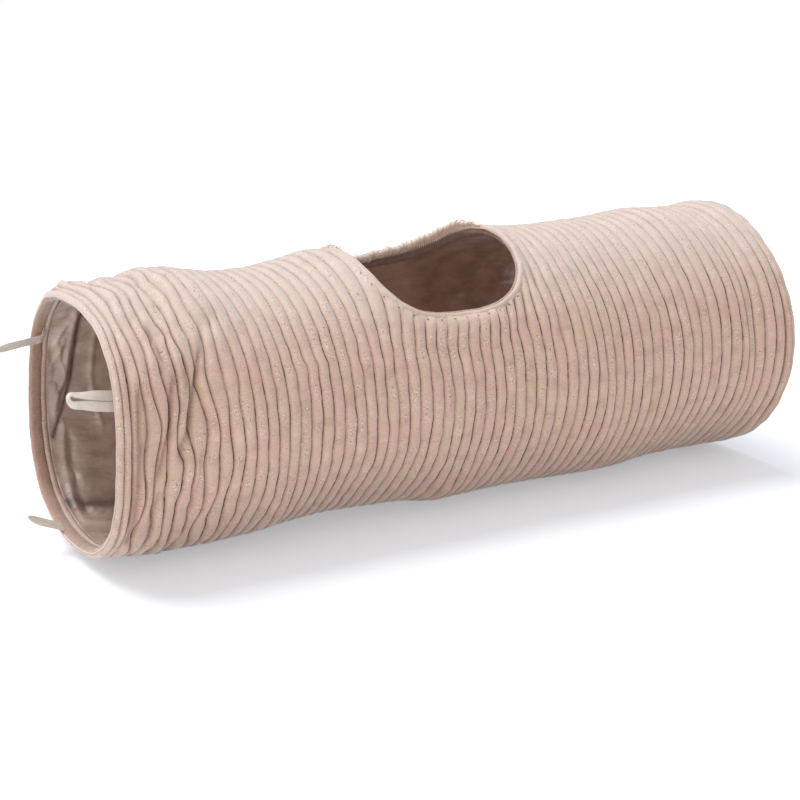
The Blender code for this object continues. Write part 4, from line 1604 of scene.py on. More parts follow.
@dataclass
class Rim:
    """The hooped rim at one end: binding, a pale cord at its nose as a painted highlight, facing and seams.
    """

    finishes: Finishes
    end: RimEnd
    outer_radius: float = 0.1226
    inner_radius: float = 0.1138
    outer_width: float = 0.0098
    inner_width: float = 0.0100
    seam_depth: float = 0.0048
    cloth: float = 0.0008
    facing_radius: float = 0.1147
    facing_end: float = 0.024
    hoop_depth: float = 0.0055
    hoop_radius: float = 0.11785
    hoop_wire: float = 0.00125
    sleeve_wire: float = 0.0020
    sleeve_length: float = 0.0110
    steps: int = 220
    thread_steps: int = 240
    binding_flat: float = 0.030
    facing_flat: float = 0.016

    # Parts of the sections: depths and radii in millimetres, from the sizes above
    outer_flap: Steps = ((0.4, -1.6), (0.0, -0.5), (-1.0, 0.6), (-2.4, 1.0), (-3.8, 0.5))
    seam_fold: Steps = ((0.6, -0.7), (0.0, -2.0), (-0.7, -0.6), (-1.8, 0.3), (-3.0, 0.2))
    inner_flap: Steps = ((2.4, -0.1), (5.0, -0.45), (8.0, -0.35))
    inner_edge: Steps = ((-0.6, 0.1), (0.0, 0.7))
    facing_roll: Steps = (
        *((0.0, 0.6), (0.4, -0.3), (1.6, -0.9), (3.0, -0.8)),
        *((4.2, 0.1), (5.0, 1.2), (5.6, 2.1)),
    )

    def side(self, depth: Array) -> Array:
        """Distance along the tunnel of a depth behind this rim's plane."""
        return depth if self.end is RimEnd.NEAR else FORM.length - depth

    def wobble(self, angle: Array) -> Array:
        """How far the rim stands off a true circle.

        Args:
            angle: angles.

        Returns:
            Metres.
        """
        plane = np.full_like(angle, 0.012 if self.end is RimEnd.NEAR else FORM.length - 0.012)
        own = FORM.waves(plane, angle, 5, 6, 0.45 * MM) + FORM.ripple(plane, angle, 0.45 * MM)
        bottom = ramp(FORM.off_bottom(angle), radians(8), radians(40))
        return own * bottom + 0.35 * FORM.folds(COVER_FOLDS, plane, angle, "lift") * bottom

    def strip(self, name: str, profile: list[tuple[float, float]], thickness: float) -> Piece:
        """A band swept round the rim.

        Args:
            name: the piece's name.
            profile: depths behind the rim's plane and radii, from the outside in.
            thickness: the cloth.

        Returns:
            The piece.
        """
        shape = np.array(profile)
        run = run_along(shape)
        girth = FULL_TURN * self.outer_radius
        cloth = FlatCut(name, run, np.linspace(0.0, girth, self.steps + 1))
        places = cloth.keep_cut()
        depth = np.interp(places[:, 0], run, shape[:, 0])
        radius = np.interp(places[:, 0], run, shape[:, 1])
        turn = FULL_TURN * places[:, 1] / girth
        angle = SEAM_ANGLE + (-turn if self.end is RimEnd.NEAR else turn)
        cloth.move(FORM.place(self.side(depth), angle, radius + self.wobble(angle)))
        cloth.weld()
        return cloth.thicken(thickness, 50.0)

    def section(self, depth: float, radius: float, steps: Steps) -> list[tuple[float, float]]:
        """A section's depths and radii, from its steps past a depth and a radius."""
        return [(depth + off * MM, radius + rise * MM) for off, rise in steps]

    def binding_profile(self) -> list[tuple[float, float]]:
        """The folded band: its outer flap with an edge seam, its round nose and its inner flap.

        Returns:
            Depths behind the rim's plane and radii.
        """
        middle = (self.outer_radius + self.inner_radius) / 2
        half = (self.outer_radius - self.inner_radius) / 2
        profile = self.section(self.outer_width, self.outer_radius, self.outer_flap)
        profile += self.section(self.seam_depth, self.outer_radius, self.seam_fold)
        for step in range(1, 10):
            turn = math.pi * step / 10
            reach = half * (1 - math.sin(turn) ** 0.7)
            profile.append((reach * 0.55, middle + half * math.cos(turn) * 0.97))
        profile += self.section(0.0, self.inner_radius, self.inner_flap)
        return profile + self.section(self.inner_width, self.inner_radius, self.inner_edge)

    def facing_profile(self) -> list[tuple[float, float]]:
        """The turned in band behind the binding: a narrow roll, then flat under the lining."""
        roll = self.section(self.inner_width + 0.5 * MM, self.facing_radius, self.facing_roll)
        return [*roll, (self.facing_end, roll[-1][1])]

    def hoop(self) -> list[Piece]:
        """The closed wire that keeps the rim open, and the crimped sleeve that holds the coil's end to it.

        Returns:
            The pieces.
        """
        word = self.end.value
        angle = np.linspace(0.0, FULL_TURN, self.steps, endpoint=False)
        line = FORM.place(self.side(np.full_like(angle, self.hoop_depth)), angle, self.hoop_radius)
        wire = tube_from_line(f"{word}_hoop_wire", line, self.hoop_wire, True, 2)
        dress(wire, self.finishes.steel)
        low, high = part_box(f"{word}_hoop_sleeve")
        middle = (low + high) / 2
        centre = math.atan2(middle.z - FORM.axis_height, -middle.y)
        half = self.sleeve_length / 2 / self.hoop_radius
        share = np.linspace(-1.0, 1.0, 25)
        arc = centre + half * share
        points = FORM.place(self.side(np.full_like(arc, self.hoop_depth)), arc, self.hoop_radius)
        crimps = 1 - 0.16 * np.maximum(np.cos(share * math.pi * 3), 0.0) * (np.abs(share) < 0.84)
        sleeve = tube_from_line(f"{word}_crimped_sleeve", points, self.sleeve_wire, False, 3, crimps)
        dress(sleeve, self.finishes.steel)
        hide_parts(f"{word}_hoop")
        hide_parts(f"{word}_hoop_sleeve")
        return [wire, sleeve]

    def build(self) -> list[Piece]:
        """Builds and dresses the rim's pieces.

        Returns:
            The pieces.
        """
        word, body = self.end.value, f"{self.end.value}_end"
        binding = self.strip(f"{word}_binding", self.binding_profile(), self.cloth)
        dress(binding, self.finishes.binding)
        facing = self.strip(f"{word}_facing_band", self.facing_profile(), self.cloth)
        dress(facing, self.finishes.plain_corduroy)
        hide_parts(f"{word}_rim_binding")
        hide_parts(f"{word}_facing")
        angle = np.linspace(0.0, FULL_TURN, self.thread_steps, endpoint=False)
        # Painted highlight: a pale cord along the binding's nose stands for the light on its fold
        nose = (self.outer_radius + self.inner_radius) / 2 - 0.6 * MM
        nose_highlight_depth = np.full_like(angle, -0.2 * MM)
        line = FORM.place(self.side(nose_highlight_depth), angle, nose + self.wobble(angle))
        nose_highlight = dress(tube_from_line(f"{word}_piping", line, 0.7 * MM, True), self.finishes.nose_highlight)
        inside = self.inner_radius - 1.25 * MM + self.cloth
        stitches = self.seam(f"{word}_inner_seam", 7.6 * MM, inside, 4.2 * MM, -1)
        dress(stitches, self.finishes.seam_thread)
        edge = self.seam(f"{word}_edge_seam", self.seam_depth, self.outer_radius - 1.7 * MM, 3.1 * MM, 1)
        dress(edge, self.finishes.seam_thread)
        pieces = [binding, facing, nose_highlight, stitches, edge, *self.hoop()]
        for piece in pieces:
            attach(piece, body)
        return pieces

    def seam(self, name: str, depth: float, radius: float, pitch: float, facing: int) -> Piece:
        """A row of stitches round the rim.

        Args:
            name: the row's name.
            depth: how far behind the rim's plane.
            radius: its distance from the axis.
            pitch: from one stitch to the next.
            facing: 1 where the cloth faces outwards and -1 where it faces the axis.

        Returns:
            The row.
        """
        count = round(FULL_TURN * radius / pitch)
        angle = np.arange(count) * FULL_TURN / count
        points = FORM.place(self.side(np.full_like(angle, depth)), angle, radius + self.wobble(angle))
        heads = np.stack([np.zeros(count), np.sin(angle), np.cos(angle)], axis=-1)
        ups = facing * np.stack([np.zeros(count), -np.cos(angle), np.sin(angle)], axis=-1)
        return StitchShape(length=2.6 * MM, thickness=0.6 * MM).row(name, points, heads, ups)


@dataclass
class Peephole:
    """The hole's edge: a rolled hem, its overlock threads and its seam."""

    finishes: Finishes
    steps: int = 300
    around: float = 0.52
    roll_radius: float = 0.0042
    wraps: int = 52
    zigzags: int = 236
    edge_loops: int = 118
    overlock_thread: float = 0.42 * MM
    wrap_thread: float = 0.38 * MM
    edge_thread: float = 0.32 * MM
    cloth: float = 0.0007
    lining_depth: float = 0.0092
    hem_flat: float = 0.0100
    facing_flat: float = 0.0120

    # The hem's section: outsets from the hole's edge and depths below the cover's face, in millimetres
    section: Steps = (
        *((6.0, 1.9), (5.2, 1.1), (4.9, 0.35), (4.2, -0.25), (3.0, -0.65)),
        *((1.6, -0.60), (0.4, 0.15), (-0.4, 1.5), (-0.7, 3.0)),
    )
    inner_section: Steps = (
        *((-0.5, 2.6), (0.3, 4.2), (1.6, 6.2), (3.2, 8.2)),
        *((5.0, 9.7), (6.8, 10.2), (8.2, 9.9)),
    )

    def point(self, turn: Array, outset: Array, depth: Array) -> Array:
        """Points on the hem, by direction from the hole's middle, outset and depth in metres.

        Args:
            turn: directions from the hole's middle.
            outset: how far outside the hole's edge.
            depth: how far below the cover's face.

        Returns:
            An array of points.
        """
        along, angle = FORM.outline.offsets(turn, outset)
        back = ramp(np.sin(turn), 0.10, 0.60)
        depth = np.where(depth > 1.0 * MM, depth * (1 + 0.28 * back), depth - 0.5 * MM * back)
        at_lining = ramp(depth, 3.0 * MM, 8.0 * MM)
        low = self.lining_base(along, angle, depth)
        high = FORM.cover_point(along, angle, depth)
        return high * (1 - at_lining[:, None]) + low * at_lining[:, None]

    def lining_base(self, along: Array, angle: Array, depth: Array) -> Array:
        """Points by their depth inside the lining's face."""
        follow = FORM.folds(HOLE_FOLDS, along, angle, "lift")
        return FORM.place(along, angle, FORM.lining_radius + follow - (depth - self.lining_depth) - 0.3 * MM)

    def strip(self, name: str, section: Steps) -> Piece:
        """A strip of cloth swept round the hole's edge.

        Args:
            name: the piece's name.
            section: its outsets and depths, in millimetres.

        Returns:
            The strip.
        """
        shape = np.array(section) * MM
        run = run_along(shape)
        fine = np.linspace(0.0, run[-1], 15)
        cloth = FlatCut(name, fine, np.linspace(0.0, self.around, self.steps + 1))
        places = cloth.keep_cut()
        outset = np.interp(places[:, 0], run, shape[:, 0])
        depth = np.interp(places[:, 0], run, shape[:, 1])
        turn = FULL_TURN * places[:, 1] / self.around
        ripple = 0.25 * MM * np.sin(turn * 61) + 0.35 * MM * np.sin(turn * 23 + 1.0)
        cloth.move(self.point(-turn, outset + ripple * 0.5, depth - ripple * 0.6))
        cloth.weld()
        return cloth.thicken(self.cloth)

    def hem(self) -> Piece:
        """The rolled edge.

        Returns:
            The piece.
        """
        piece = dress(self.strip("hem", self.section), self.finishes.plain_corduroy)
        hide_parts("peephole_hem")
        return piece

    def hem_facing(self) -> Piece:
        """The turned in edge of the lining, which is sewn under the hem; its dark tape colour is partly
        painted shade.

        Returns:
            The piece.
        """
        piece = dress(self.strip("hem_facing", self.inner_section), self.finishes.hem_tape)
        return piece

    def overlock(self) -> Piece:
        """The thread that zigzags over the cut edge, turned outwards along the back.

        Returns:
            The piece.
        """
        count = self.zigzags
        turn = np.repeat(np.arange(count) * FULL_TURN / count, 2)
        turn[1::2] += 0.5 * FULL_TURN / count
        _, angle = FORM.outline.offsets(turn, 0.0)
        outward = ramp(angle, radians(96), radians(112))
        over = np.tile([0.0, 1.0], count)
        outset = np.where(over > 0, -1.2 * MM, 0.2 * MM + 3.0 * MM * outward)
        depth = np.where(over > 0, 2.2 * MM + 4.0 * MM * outward, 1.6 * MM - 3.4 * MM * outward)
        line = []
        following = np.roll(np.arange(len(turn)), -1)
        step = half_turn(turn[following] - turn)
        for share in (0.0, 0.33, 0.66):
            mixed_outset = outset + (outset[following] - outset) * share
            mixed_depth = depth + (depth[following] - depth) * share
            dip = np.where(share > 0, -1.2 * MM, 0.0)
            line.append(self.point(turn + step * share, mixed_outset + dip, mixed_depth + 0.3 * MM))
        points = np.stack(line, axis=1).reshape(-1, 3)
        piece = tube_from_line("overlock_thread", points, self.overlock_thread, True, 0)
        return dress(piece, self.finishes.overlock)

    def roll(self) -> Piece:
        """The raw edge that curls up along the back of the hole, lumpy and tapered to its ends.

        Returns:
            The piece.
        """
        points, swell = self.roll_line(np.linspace(0.0, 1.0, 300))
        piece = tube_from_line("hem_roll", points, self.roll_radius, False, 2, swell)
        return dress(piece, self.finishes.fuzz)

    def roll_line(self, share: Array) -> tuple[Array, Array]:
        """The roll's middle line and its thickness, as a share of its radius, at shares of its length.

        Args:
            share: shares of its length.

        Returns:
            The line and the thickness.
        """
        turn = np.radians(14.0 + 162.0 * share)
        taper = np.sin(math.pi * np.clip(share, 0.0, 1.0)) ** 0.45
        lumps = 1 + 0.09 * np.sin(turn * 97) + 0.08 * np.sin(turn * 61 + 1.0) + 0.08 * np.sin(turn * 23)
        outset = 0.2 * MM + 0.6 * MM * np.sin(turn * 37)
        depth = np.full_like(turn, -0.6 * MM) + 0.5 * MM * np.sin(turn * 29)
        return self.point(turn, outset, depth), np.maximum(taper * lumps, 0.05)

    def wrap(self) -> Piece:
        """The overlock thread that winds round the roll.

        Returns:
            The piece.
        """
        share = np.linspace(0.03, 0.97, 760)
        points, swell = self.roll_line(share)
        ahead = np.gradient(points, axis=0)
        ahead /= np.linalg.norm(ahead, axis=1)[:, None]
        middle = points * (0.0, 1.0, 1.0) - (0.0, 0.0, FORM.axis_height)
        side = np.cross(ahead, middle)
        side /= np.linalg.norm(side, axis=1)[:, None]
        up = np.cross(side, ahead)
        turn = FULL_TURN * self.wraps * share
        reach = (self.roll_radius * swell + 0.15 * MM)[:, None]
        line = points + reach * (np.cos(turn)[:, None] * side + np.sin(turn)[:, None] * up)
        piece = tube_from_line("overlock_wrap", line, self.wrap_thread, False, 0)
        return dress(piece, self.finishes.overlock)

    def edge_cord(self) -> Piece:
        """The chain of thread that lies along the edge itself.

        Returns:
            The piece.
        """
        turn = np.linspace(0.0, FULL_TURN, 640, endpoint=False)
        outset = -1.25 * MM + 0.25 * MM * np.sin(turn * self.edge_loops)
        points = self.point(turn, outset, 3.0 * MM + 0.5 * MM * np.cos(turn * self.edge_loops))
        piece = tube_from_line("edge_thread", points, self.edge_thread, True, 0)
        return dress(piece, self.finishes.thread)

    def seam(self) -> Piece:
        """The row of stitches that sinks between the ribs along the front of the hole.

        Returns:
            The piece.
        """
        count = 14
        turn = np.radians(np.linspace(-158.0, -52.0, count))
        hair = 0.004
        points = self.point(turn, np.full(count, 7.0 * MM), np.full(count, 0.2 * MM))
        ahead = self.point(turn + hair, np.full(count, 7.2 * MM), np.full(count, 0.0 * MM)) - points
        raised = self.point(turn, np.full(count, 7.2 * MM), np.full(count, -0.5 * MM)) - points
        row = StitchShape(length=2.2 * MM, thickness=1.5 * MM).row("peephole_seam", points, ahead, raised)
        return dress(row, self.finishes.seam_thread)

    def build(self) -> list[Piece]:
        """Builds the hole's edge.

        Returns:
            The pieces.
        """
        pieces = [
            self.hem(),
            self.hem_facing(),
            self.roll(),
            self.wrap(),
            self.overlock(),
            self.edge_cord(),
            self.seam(),
        ]
        for piece in pieces:
            FOLD_UP.follow(piece)
        return pieces


@dataclass
class TapeLoop:
    """A loop of flat tape sewn into the near rim, with the short root that stays on the facing."""

    finishes: Finishes
    letter: str
    angle: float
    rise: float
    lean: float
    roll: float = 0.0
    sway: float = 0.0
    width: float = 0.0084
    thickness: float = 0.0010
    gap: float = 0.0008
    reach: float = 0.054
    eye_radius: float = 0.0048
    end_twist: float = radians(54)
    tip_twist: float = radians(90)
    root_along: float = 0.0098
    seat_radius: float = 0.1120
    tab_length: float = 0.0095
    smooth_angle: float = 40.0
    strand_steps: int = 28
    eye_steps: int = 14
    across_steps: int = 4

    def strand(self, out: float) -> tuple[float, float]:
        """Sideways place and twist of a strand at a distance out.

        Args:
            out: how far out along the loop.

        Returns:
            The place and the twist.
        """
        end = self.reach - self.eye_radius
        twist = self.end_twist * float(ramp(out, self.reach * 0.36, end))
        lying = self.width / 2 * math.cos(twist) + self.thickness / 2 * math.sin(twist) + self.gap / 2
        eye = float(ramp(out, self.reach * 0.50, end))
        return lying + (self.eye_radius - lying) * eye, twist

    def stations(self) -> list[tuple[Vector, Vector]]:
        """Centres of the tape and its width directions along its whole path, in the loop's own frame.

        Returns:
            Centres and width directions.
        """
        end = self.reach - self.eye_radius
        going, coming = [], []
        for step in range(self.strand_steps + 1):
            out = end * step / self.strand_steps
            side, twist = self.strand(out)
            for sections, sign in ((going, 1), (coming, -1)):
                across = Vector((0.0, math.cos(twist), -sign * math.sin(twist))) * sign
                sections.append((Vector((out, sign * side, 0.0)), across))
        eye = []
        for step in range(1, self.eye_steps):
            turn = math.pi * step / self.eye_steps
            centre = Vector((end + self.eye_radius * math.sin(turn), self.eye_radius * math.cos(turn), 0.0))
            twist = self.end_twist + (self.tip_twist - self.end_twist) * math.sin(turn)
            outwards = Vector((math.sin(turn), math.cos(turn), 0.0))
            eye.append((centre, outwards * math.cos(twist) - Vector((0.0, 0.0, math.sin(twist)))))
        return going + eye + coming[::-1]

    def place(self, point: Vector) -> Vector:
        """A point of the loop's own frame (out, sideways, up) in the tunnel's frame, with the tape's bend.

        Args:
            point: the point.

        Returns:
            The point in the frame.
        """
        outward = Vector((0.0, -math.cos(self.angle), math.sin(self.angle)))
        along = Vector((1.0, 0.0, 0.0))
        ahead = -along * math.cos(self.lean) - outward * math.sin(self.lean)
        face = outward * math.cos(self.lean) - along * math.sin(self.lean)
        root = Vector((self.root_along - FORM.length / 2, 0.0, FORM.axis_height)) + outward * self.seat_radius
        share = max(point.x, 0.0) / self.reach
        roll = self.roll * float(ramp(point.x, -0.004, 0.002))
        across = point.y * math.cos(roll) - point.z * math.sin(roll)
        up = point.y * math.sin(roll) + point.z * math.cos(roll)
        up += self.rise * math.sin(math.pi * share) * (1 - 0.4 * share)
        across += self.sway * share**1.3
        return root + ahead * point.x + face.cross(ahead) * across + face * up

    def tab(self) -> Piece:
        """The sewn root of both strands, which goes from the loop into the seam.

        Returns:
            The piece.
        """
        run = np.linspace(0.0, self.tab_length, 8)
        half = self.width + self.gap / 2
        cloth = FlatCut(f"loop_tab_{self.letter}", run, np.linspace(-half, half, 9))
        places = cloth.keep_cut()
        sink = 4.6 * MM * ramp(places[:, 0], 0.0005, 0.0075)
        moved = [self.place(Vector((0.0012 - out, side, up))) for (out, side, _), up in zip(places, sink)]
        cloth.move(np.array(moved))
        return cloth.thicken(self.thickness, self.smooth_angle)

    def ribbon(self, name: str, stations: list[tuple[Vector, Vector]]) -> Piece:
        """A flat tape through stations, cut from a grid.

        Args:
            name: the piece's name.
            stations: centres of the tape and its width directions.

        Returns:
            The piece.
        """
        centres = [centre for centre, _ in stations]
        run = [0.0]
        for here, there in zip(centres, centres[1:]):
            run.append(run[-1] + (there - here).length)
        half = self.width / 2
        cloth = FlatCut(name, np.array(run), np.linspace(-half, half, self.across_steps + 1))
        places = cloth.keep_cut()
        moved = []
        for along, across, _ in places:
            index = min(int(np.searchsorted(run, along + 1e-7)) - 1, len(stations) - 1)
            centre, heading = stations[max(index, 0)]
            moved.append(self.place(centre + heading * across))
        cloth.move(np.array(moved))
        return cloth.thicken(self.thickness, self.smooth_angle)

    def build(self) -> list[Piece]:
        """Builds the loop and its root.

        Returns:
            The pieces.
        """
        loop = dress(self.ribbon(f"tape_loop_{self.letter}", self.stations()), self.finishes.tape)
        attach(loop, f"loop_{self.letter}")
        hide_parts(f"loop_{self.letter}")
        tab = dress(self.tab(), self.finishes.tape)
        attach(tab, "near_end")
        return [loop, tab]


@dataclass
class SewnButton:
    """A two hole button, sewn inside the far rim."""

    finishes: Finishes
    letter: str
    angle: float
    radius: float = 0.0065
    thickness: float = 0.0028
    rim_width: float = 0.0015
    dish: float = 0.0006
    hole_radius: float = 0.0009
    hole_spacing: float = 0.0044
    edge_round: float = 0.3 * MM
    thread_radius: float = 0.45 * MM

    def build(self) -> list[Piece]:
        """Turns the button, drills it and ties its thread.

        Returns:
            The pieces.
        """
        deselect_all()
        bpy.ops.mesh.primitive_cylinder_add(vertices=48, radius=self.radius, depth=self.thickness)
        button = bpy.context.object
        button.name = button.data.name = f"sewn_button_{self.letter}"
        bpy.ops.object.mode_set(mode="EDIT")
        bpy.ops.mesh.select_all(action="DESELECT")
        bpy.ops.mesh.select_mode(type="FACE")
        bpy.ops.object.mode_set(mode="OBJECT")
        for face in button.data.polygons:
            face.select = face.normal.z > 0.9
        bpy.ops.object.mode_set(mode="EDIT")
        bpy.ops.mesh.inset(thickness=self.rim_width)
        bpy.ops.mesh.inset(thickness=self.dish)
        bpy.ops.transform.translate(value=(0.0, 0.0, -self.dish))
        bpy.ops.object.mode_set(mode="OBJECT")
        half = self.hole_spacing / 2
        drill_size = {"vertices": 16, "radius": self.hole_radius, "depth": 4 * self.thickness}
        for side in (-1, 1):
            bpy.ops.mesh.primitive_cylinder_add(**drill_size, location=(side * half, 0, 0))
            drill = bpy.context.object
            hole = button.modifiers.new("hole", "BOOLEAN")
            hole.operation = "DIFFERENCE"
            hole.object = drill
            apply_modifiers(button)
            bpy.data.objects.remove(drill)
        edge = button.modifiers.new("edge", "BEVEL")
        edge.width = self.edge_round
        edge.segments = 2
        edge.limit_method = "ANGLE"
        apply_modifiers(button)
        bpy.ops.object.shade_smooth_by_angle(angle=radians(35))
        inward = Vector((0.0, math.cos(self.angle), -math.sin(self.angle)))
        ahead = Vector((1.0, 0.0, 0.0))
        turn = Matrix((ahead, inward.cross(ahead), inward)).transposed().to_4x4()
        low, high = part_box(f"button_{self.letter}")
        place = Matrix.Translation((low + high) / 2) @ turn
        button.data.transform(place)
        dress(button, self.finishes.button)
        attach(button, "far_end")
        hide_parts(f"button_{self.letter}")
        top, under = self.thickness / 2, -self.thickness / 2 - 0.2 * MM
        rising = [(-half, under), (-half, top), (-half * 0.6, top + 0.5 * MM)]
        arc = rising + [(-x, z) for x, z in reversed(rising)]
        line = np.array([place @ Vector((x, 0.0, z)) for x, z in arc])
        thread = tube_from_line(f"button_thread_{self.letter}", line, self.thread_radius, False, 1)
        dress(thread, self.finishes.thread)
        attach(thread, "far_end")
        return [button, thread]


@dataclass
class SpringCore:
    """The coil of wire that holds the tunnel open, in its tape casing."""

    finishes: Finishes
    wire_radius: float = 0.00125
    casing_radius: float = 0.0022
    casing_wall: float = 0.0005
    helix_radius: float = 0.11875
    lead: float = 0.0063
    casing_lead: float = 0.026
    give_way: float = 0.0090
    give_way_at: float = 0.2720
    give_way_width: float = 0.0160
    steps_per_turn: int = 60
    section_steps: int = 10

    def path(self, start: float, end: float) -> tuple[Array, Array]:
        """Distances along the tunnel and angles of the wire between two distances.

        Args:
            start: the distance at its start.
            end: the distance at its end.

        Returns:
            Distances and angles.
        """
        turns = (end - start) / FORM.wire_pitch
        along = np.linspace(start, end, int(turns * self.steps_per_turn) + 1)
        angle = math.pi / 2 - FULL_TURN * (along - FORM.first_turn) / FORM.wire_pitch
        beside_hole = np.exp(-(((along - self.give_way_at) / self.give_way_width) ** 2))
        return along - self.give_way * beside_hole, angle

    def build(self) -> list[Piece]:
        """Builds the wire and the casing.

        Returns:
            The pieces.
        """
        along, angle = self.path(self.lead, FORM.length - self.lead)
        line = FORM.place(along, angle, self.helix_radius)
        wire = tube_from_line("spring_wire", line, self.wire_radius, False, 2)
        dress(wire, self.finishes.steel)
        FOLD_UP.follow(wire)
        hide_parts("spring_lead_in", *[f"spring_turn_{bay}" for bay in (1, 2, 3)], "spring_lead_out")
        return [wire, self.casing()]

    def casing(self) -> Piece:
        """The tape sleeve round the wire.

        Returns:
            The piece.
        """
        along, angle = self.path(self.casing_lead, FORM.length - self.casing_lead)
        girth = FULL_TURN * self.casing_radius
        run = (along - along[0]) * FULL_TURN * self.helix_radius / FORM.wire_pitch
        cloth = FlatCut("spring_casing", run, np.linspace(0.0, girth, self.section_steps + 1))
        places = cloth.keep_cut()
        here_along = np.interp(places[:, 0], run, along)
        here_angle = np.interp(places[:, 0], run, angle)
        turn = FULL_TURN * places[:, 1] / girth
        centre_radius = self.helix_radius + self.casing_radius * np.cos(turn)
        shifted = here_along - self.casing_radius * np.sin(turn)
        cloth.move(FORM.place(shifted, here_angle, centre_radius))
        cloth.weld()
        piece = dress(cloth.thicken(self.casing_wall), self.finishes.casing_tape)
        FOLD_UP.follow(piece)
        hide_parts("casing_lead_in", *[f"casing_turn_{bay}" for bay in (1, 2, 3)], "casing_lead_out")
        return piece


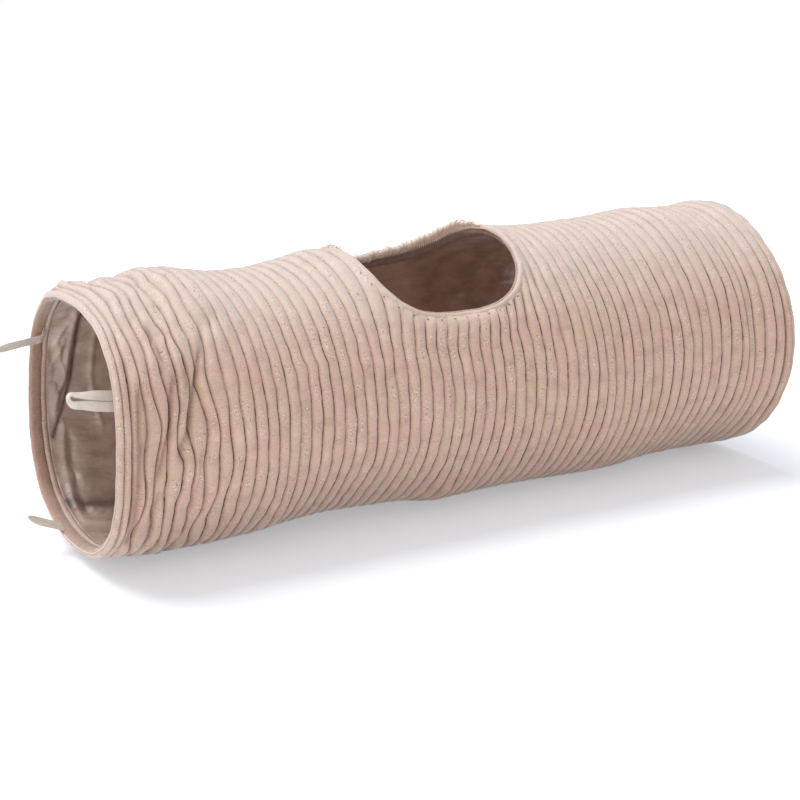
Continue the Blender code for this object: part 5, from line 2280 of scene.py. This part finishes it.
@dataclass
class Studio:
    """Pale floor, soft light and the camera of the photograph."""

    place: tuple[float, float, float] = (-0.9026, -1.4860, 0.5919)
    azimuth: float = radians(30.569)
    elevation: float = radians(16.035)
    lens: float = 85.418
    sky: float = 0.50
    sun: float = 2.6
    sun_spread: float = radians(45)
    sun_colour: tuple[float, float, float] = (0.95, 0.98, 1.0)
    sun_from: tuple[float, float, float] = (-0.30, 0.45, 1.0)
    side_lamp_at: tuple[float, float, float] = (-1.8, -1.8, 0.45)
    side_lamp_to: tuple[float, float, float] = (-0.1, 0.0, 0.12)
    side_lamp_power: float = 10.0
    side_lamp_size: float = 1.2
    sky_colour: Colour = (0.93, 0.95, 1.0, 1.0)
    floor_colour: Colour = (0.85, 0.88, 0.92, 1.0)
    floor_glow: Colour = (0.94, 0.96, 1.0, 1.0)
    floor_glow_strength: float = 0.36
    floor_size: float = 12.0

    def aimed(self, data: bpy.types.ID, place: tuple[float, float, float], ahead: Vector) -> Piece:
        """Stands a camera or lamp in the scene.

        Args:
            data: the camera or lamp.
            place: where it stands.
            ahead: the direction in which it looks.

        Returns:
            Its object.
        """
        stand = bpy.data.objects.new(data.name, data)
        bpy.context.scene.collection.objects.link(stand)
        stand.location = place
        stand.rotation_euler = ahead.to_track_quat("-Z", "Y").to_euler()
        return stand

    def camera(self) -> None:
        """Sets the camera at the photograph's view."""
        data = bpy.data.cameras.new("camera")
        data.lens = self.lens
        data.sensor_width = 36.0
        data.clip_start = 0.01
        flat = math.cos(self.elevation)
        ahead = (math.sin(self.azimuth) * flat, math.cos(self.azimuth) * flat, -math.sin(self.elevation))
        bpy.context.scene.camera = self.aimed(data, self.place, Vector(ahead))

    def lamp(self) -> None:
        """One large soft lamp, far away, above and a little behind."""
        data = bpy.data.lights.new("soft_lamp", "SUN")
        data.energy = self.sun
        data.color = self.sun_colour
        data.angle = self.sun_spread
        self.aimed(data, (0.0, 0.0, 0.0), -Vector(self.sun_from))

    def side_lamp(self) -> None:
        """A soft lamp at the front left, which reaches into the mouth."""
        data = bpy.data.lights.new("side_lamp", "AREA")
        data.shape = "DISK"
        data.size = self.side_lamp_size
        data.energy = self.side_lamp_power
        self.aimed(data, self.side_lamp_at, Vector(self.side_lamp_to) - Vector(self.side_lamp_at))

    def seen(self, tree: bpy.types.NodeTree) -> Socket:
        """1 for rays that come from the camera, or by gloss or glass, and 0 for light.

        Args:
            tree: the node tree to add to.

        Returns:
            The value.
        """
        rays = tree.nodes.new("ShaderNodeLightPath")
        total = rays.outputs["Is Camera Ray"]
        for name in ("Is Glossy Ray", "Is Transmission Ray"):
            largest = tree.nodes.new("ShaderNodeMath")
            largest.operation = "MAXIMUM"
            tree.links.new(total, largest.inputs[0])
            tree.links.new(rays.outputs[name], largest.inputs[1])
            total = largest.outputs[0]
        return total

    def world(self) -> None:
        """White to the eye, and an even pale light."""
        world = bpy.data.worlds.new("studio")
        bpy.context.scene.world = world
        world.use_nodes = True
        tree = world.node_tree
        light = tree.nodes["Background"]
        light.inputs["Color"].default_value = self.sky_colour
        light.inputs["Strength"].default_value = self.sky
        white = tree.nodes.new("ShaderNodeBackground")
        white.inputs["Strength"].default_value = 1.0
        white.inputs["Color"].default_value = WHITE
        mix = tree.nodes.new("ShaderNodeMixShader")
        tree.links.new(self.seen(tree), mix.inputs[0])
        tree.links.new(light.outputs[0], mix.inputs[1])
        tree.links.new(white.outputs[0], mix.inputs[2])
        tree.links.new(mix.outputs[0], tree.nodes["World Output"].inputs["Surface"])

    def floor(self) -> None:
        """A white floor that keeps the tunnel's shadow."""
        deselect_all()
        bpy.ops.mesh.primitive_plane_add(size=self.floor_size, location=(0.0, 0.0, -0.3 * MM))
        floor = bpy.context.object
        floor.name = "floor"
        make = Finisher("floor_paper")
        make.settle(Base_Color=self.floor_colour, Roughness=0.9, Specular_IOR_Level=0.0)
        glow = make.times(self.seen(make.tree), self.floor_glow_strength)
        make.settle(Emission_Color=self.floor_glow, Emission_Strength=glow)
        floor.data.materials.append(make.material)

    def build(self) -> None:
        """Builds the studio."""
        self.camera()
        self.world()
        self.floor()
        self.lamp()
        self.side_lamp()
        bpy.context.scene.view_settings.view_transform = "Standard"


def main() -> None:
    """Builds the tunnel's pieces in order and reports each."""
    logging.basicConfig(level=logging.INFO, format="%(name)s: %(message)s")
    finishes = Finishes()
    Studio().build()
    turned = radians(5)
    loops = (
        TapeLoop(finishes, "a", radians(23.5), 0.0, 0.0, sway=-8.0 * MM, reach=0.051, eye_radius=0.0046),
        TapeLoop(
            finishes, "b", radians(152), 0.0, radians(8), radians(-25), 0.0, 0.0078,
            reach=0.040, end_twist=turned, tip_twist=turned,
        ),
        TapeLoop(
            finishes, "c", radians(255), 0.0, radians(24), radians(4), 0.0, 0.0078,
            reach=0.048, end_twist=turned, tip_twist=turned,
        ),
    )
    pieces = SpringCore(finishes).build()
    pieces.append(Cover(finishes).build())
    pieces.append(Lining(finishes).build())
    for end in RimEnd:
        pieces += Rim(finishes, end).build()
    pieces += Peephole(finishes).build()
    for loop in loops:
        pieces += loop.build()
        pieces += SewnButton(finishes, loop.letter, loop.angle).build()
    for piece in pieces:
        log.info("%s: %d faces", piece.name, len(piece.data.polygons))


if __name__ == "__main__":
    main()
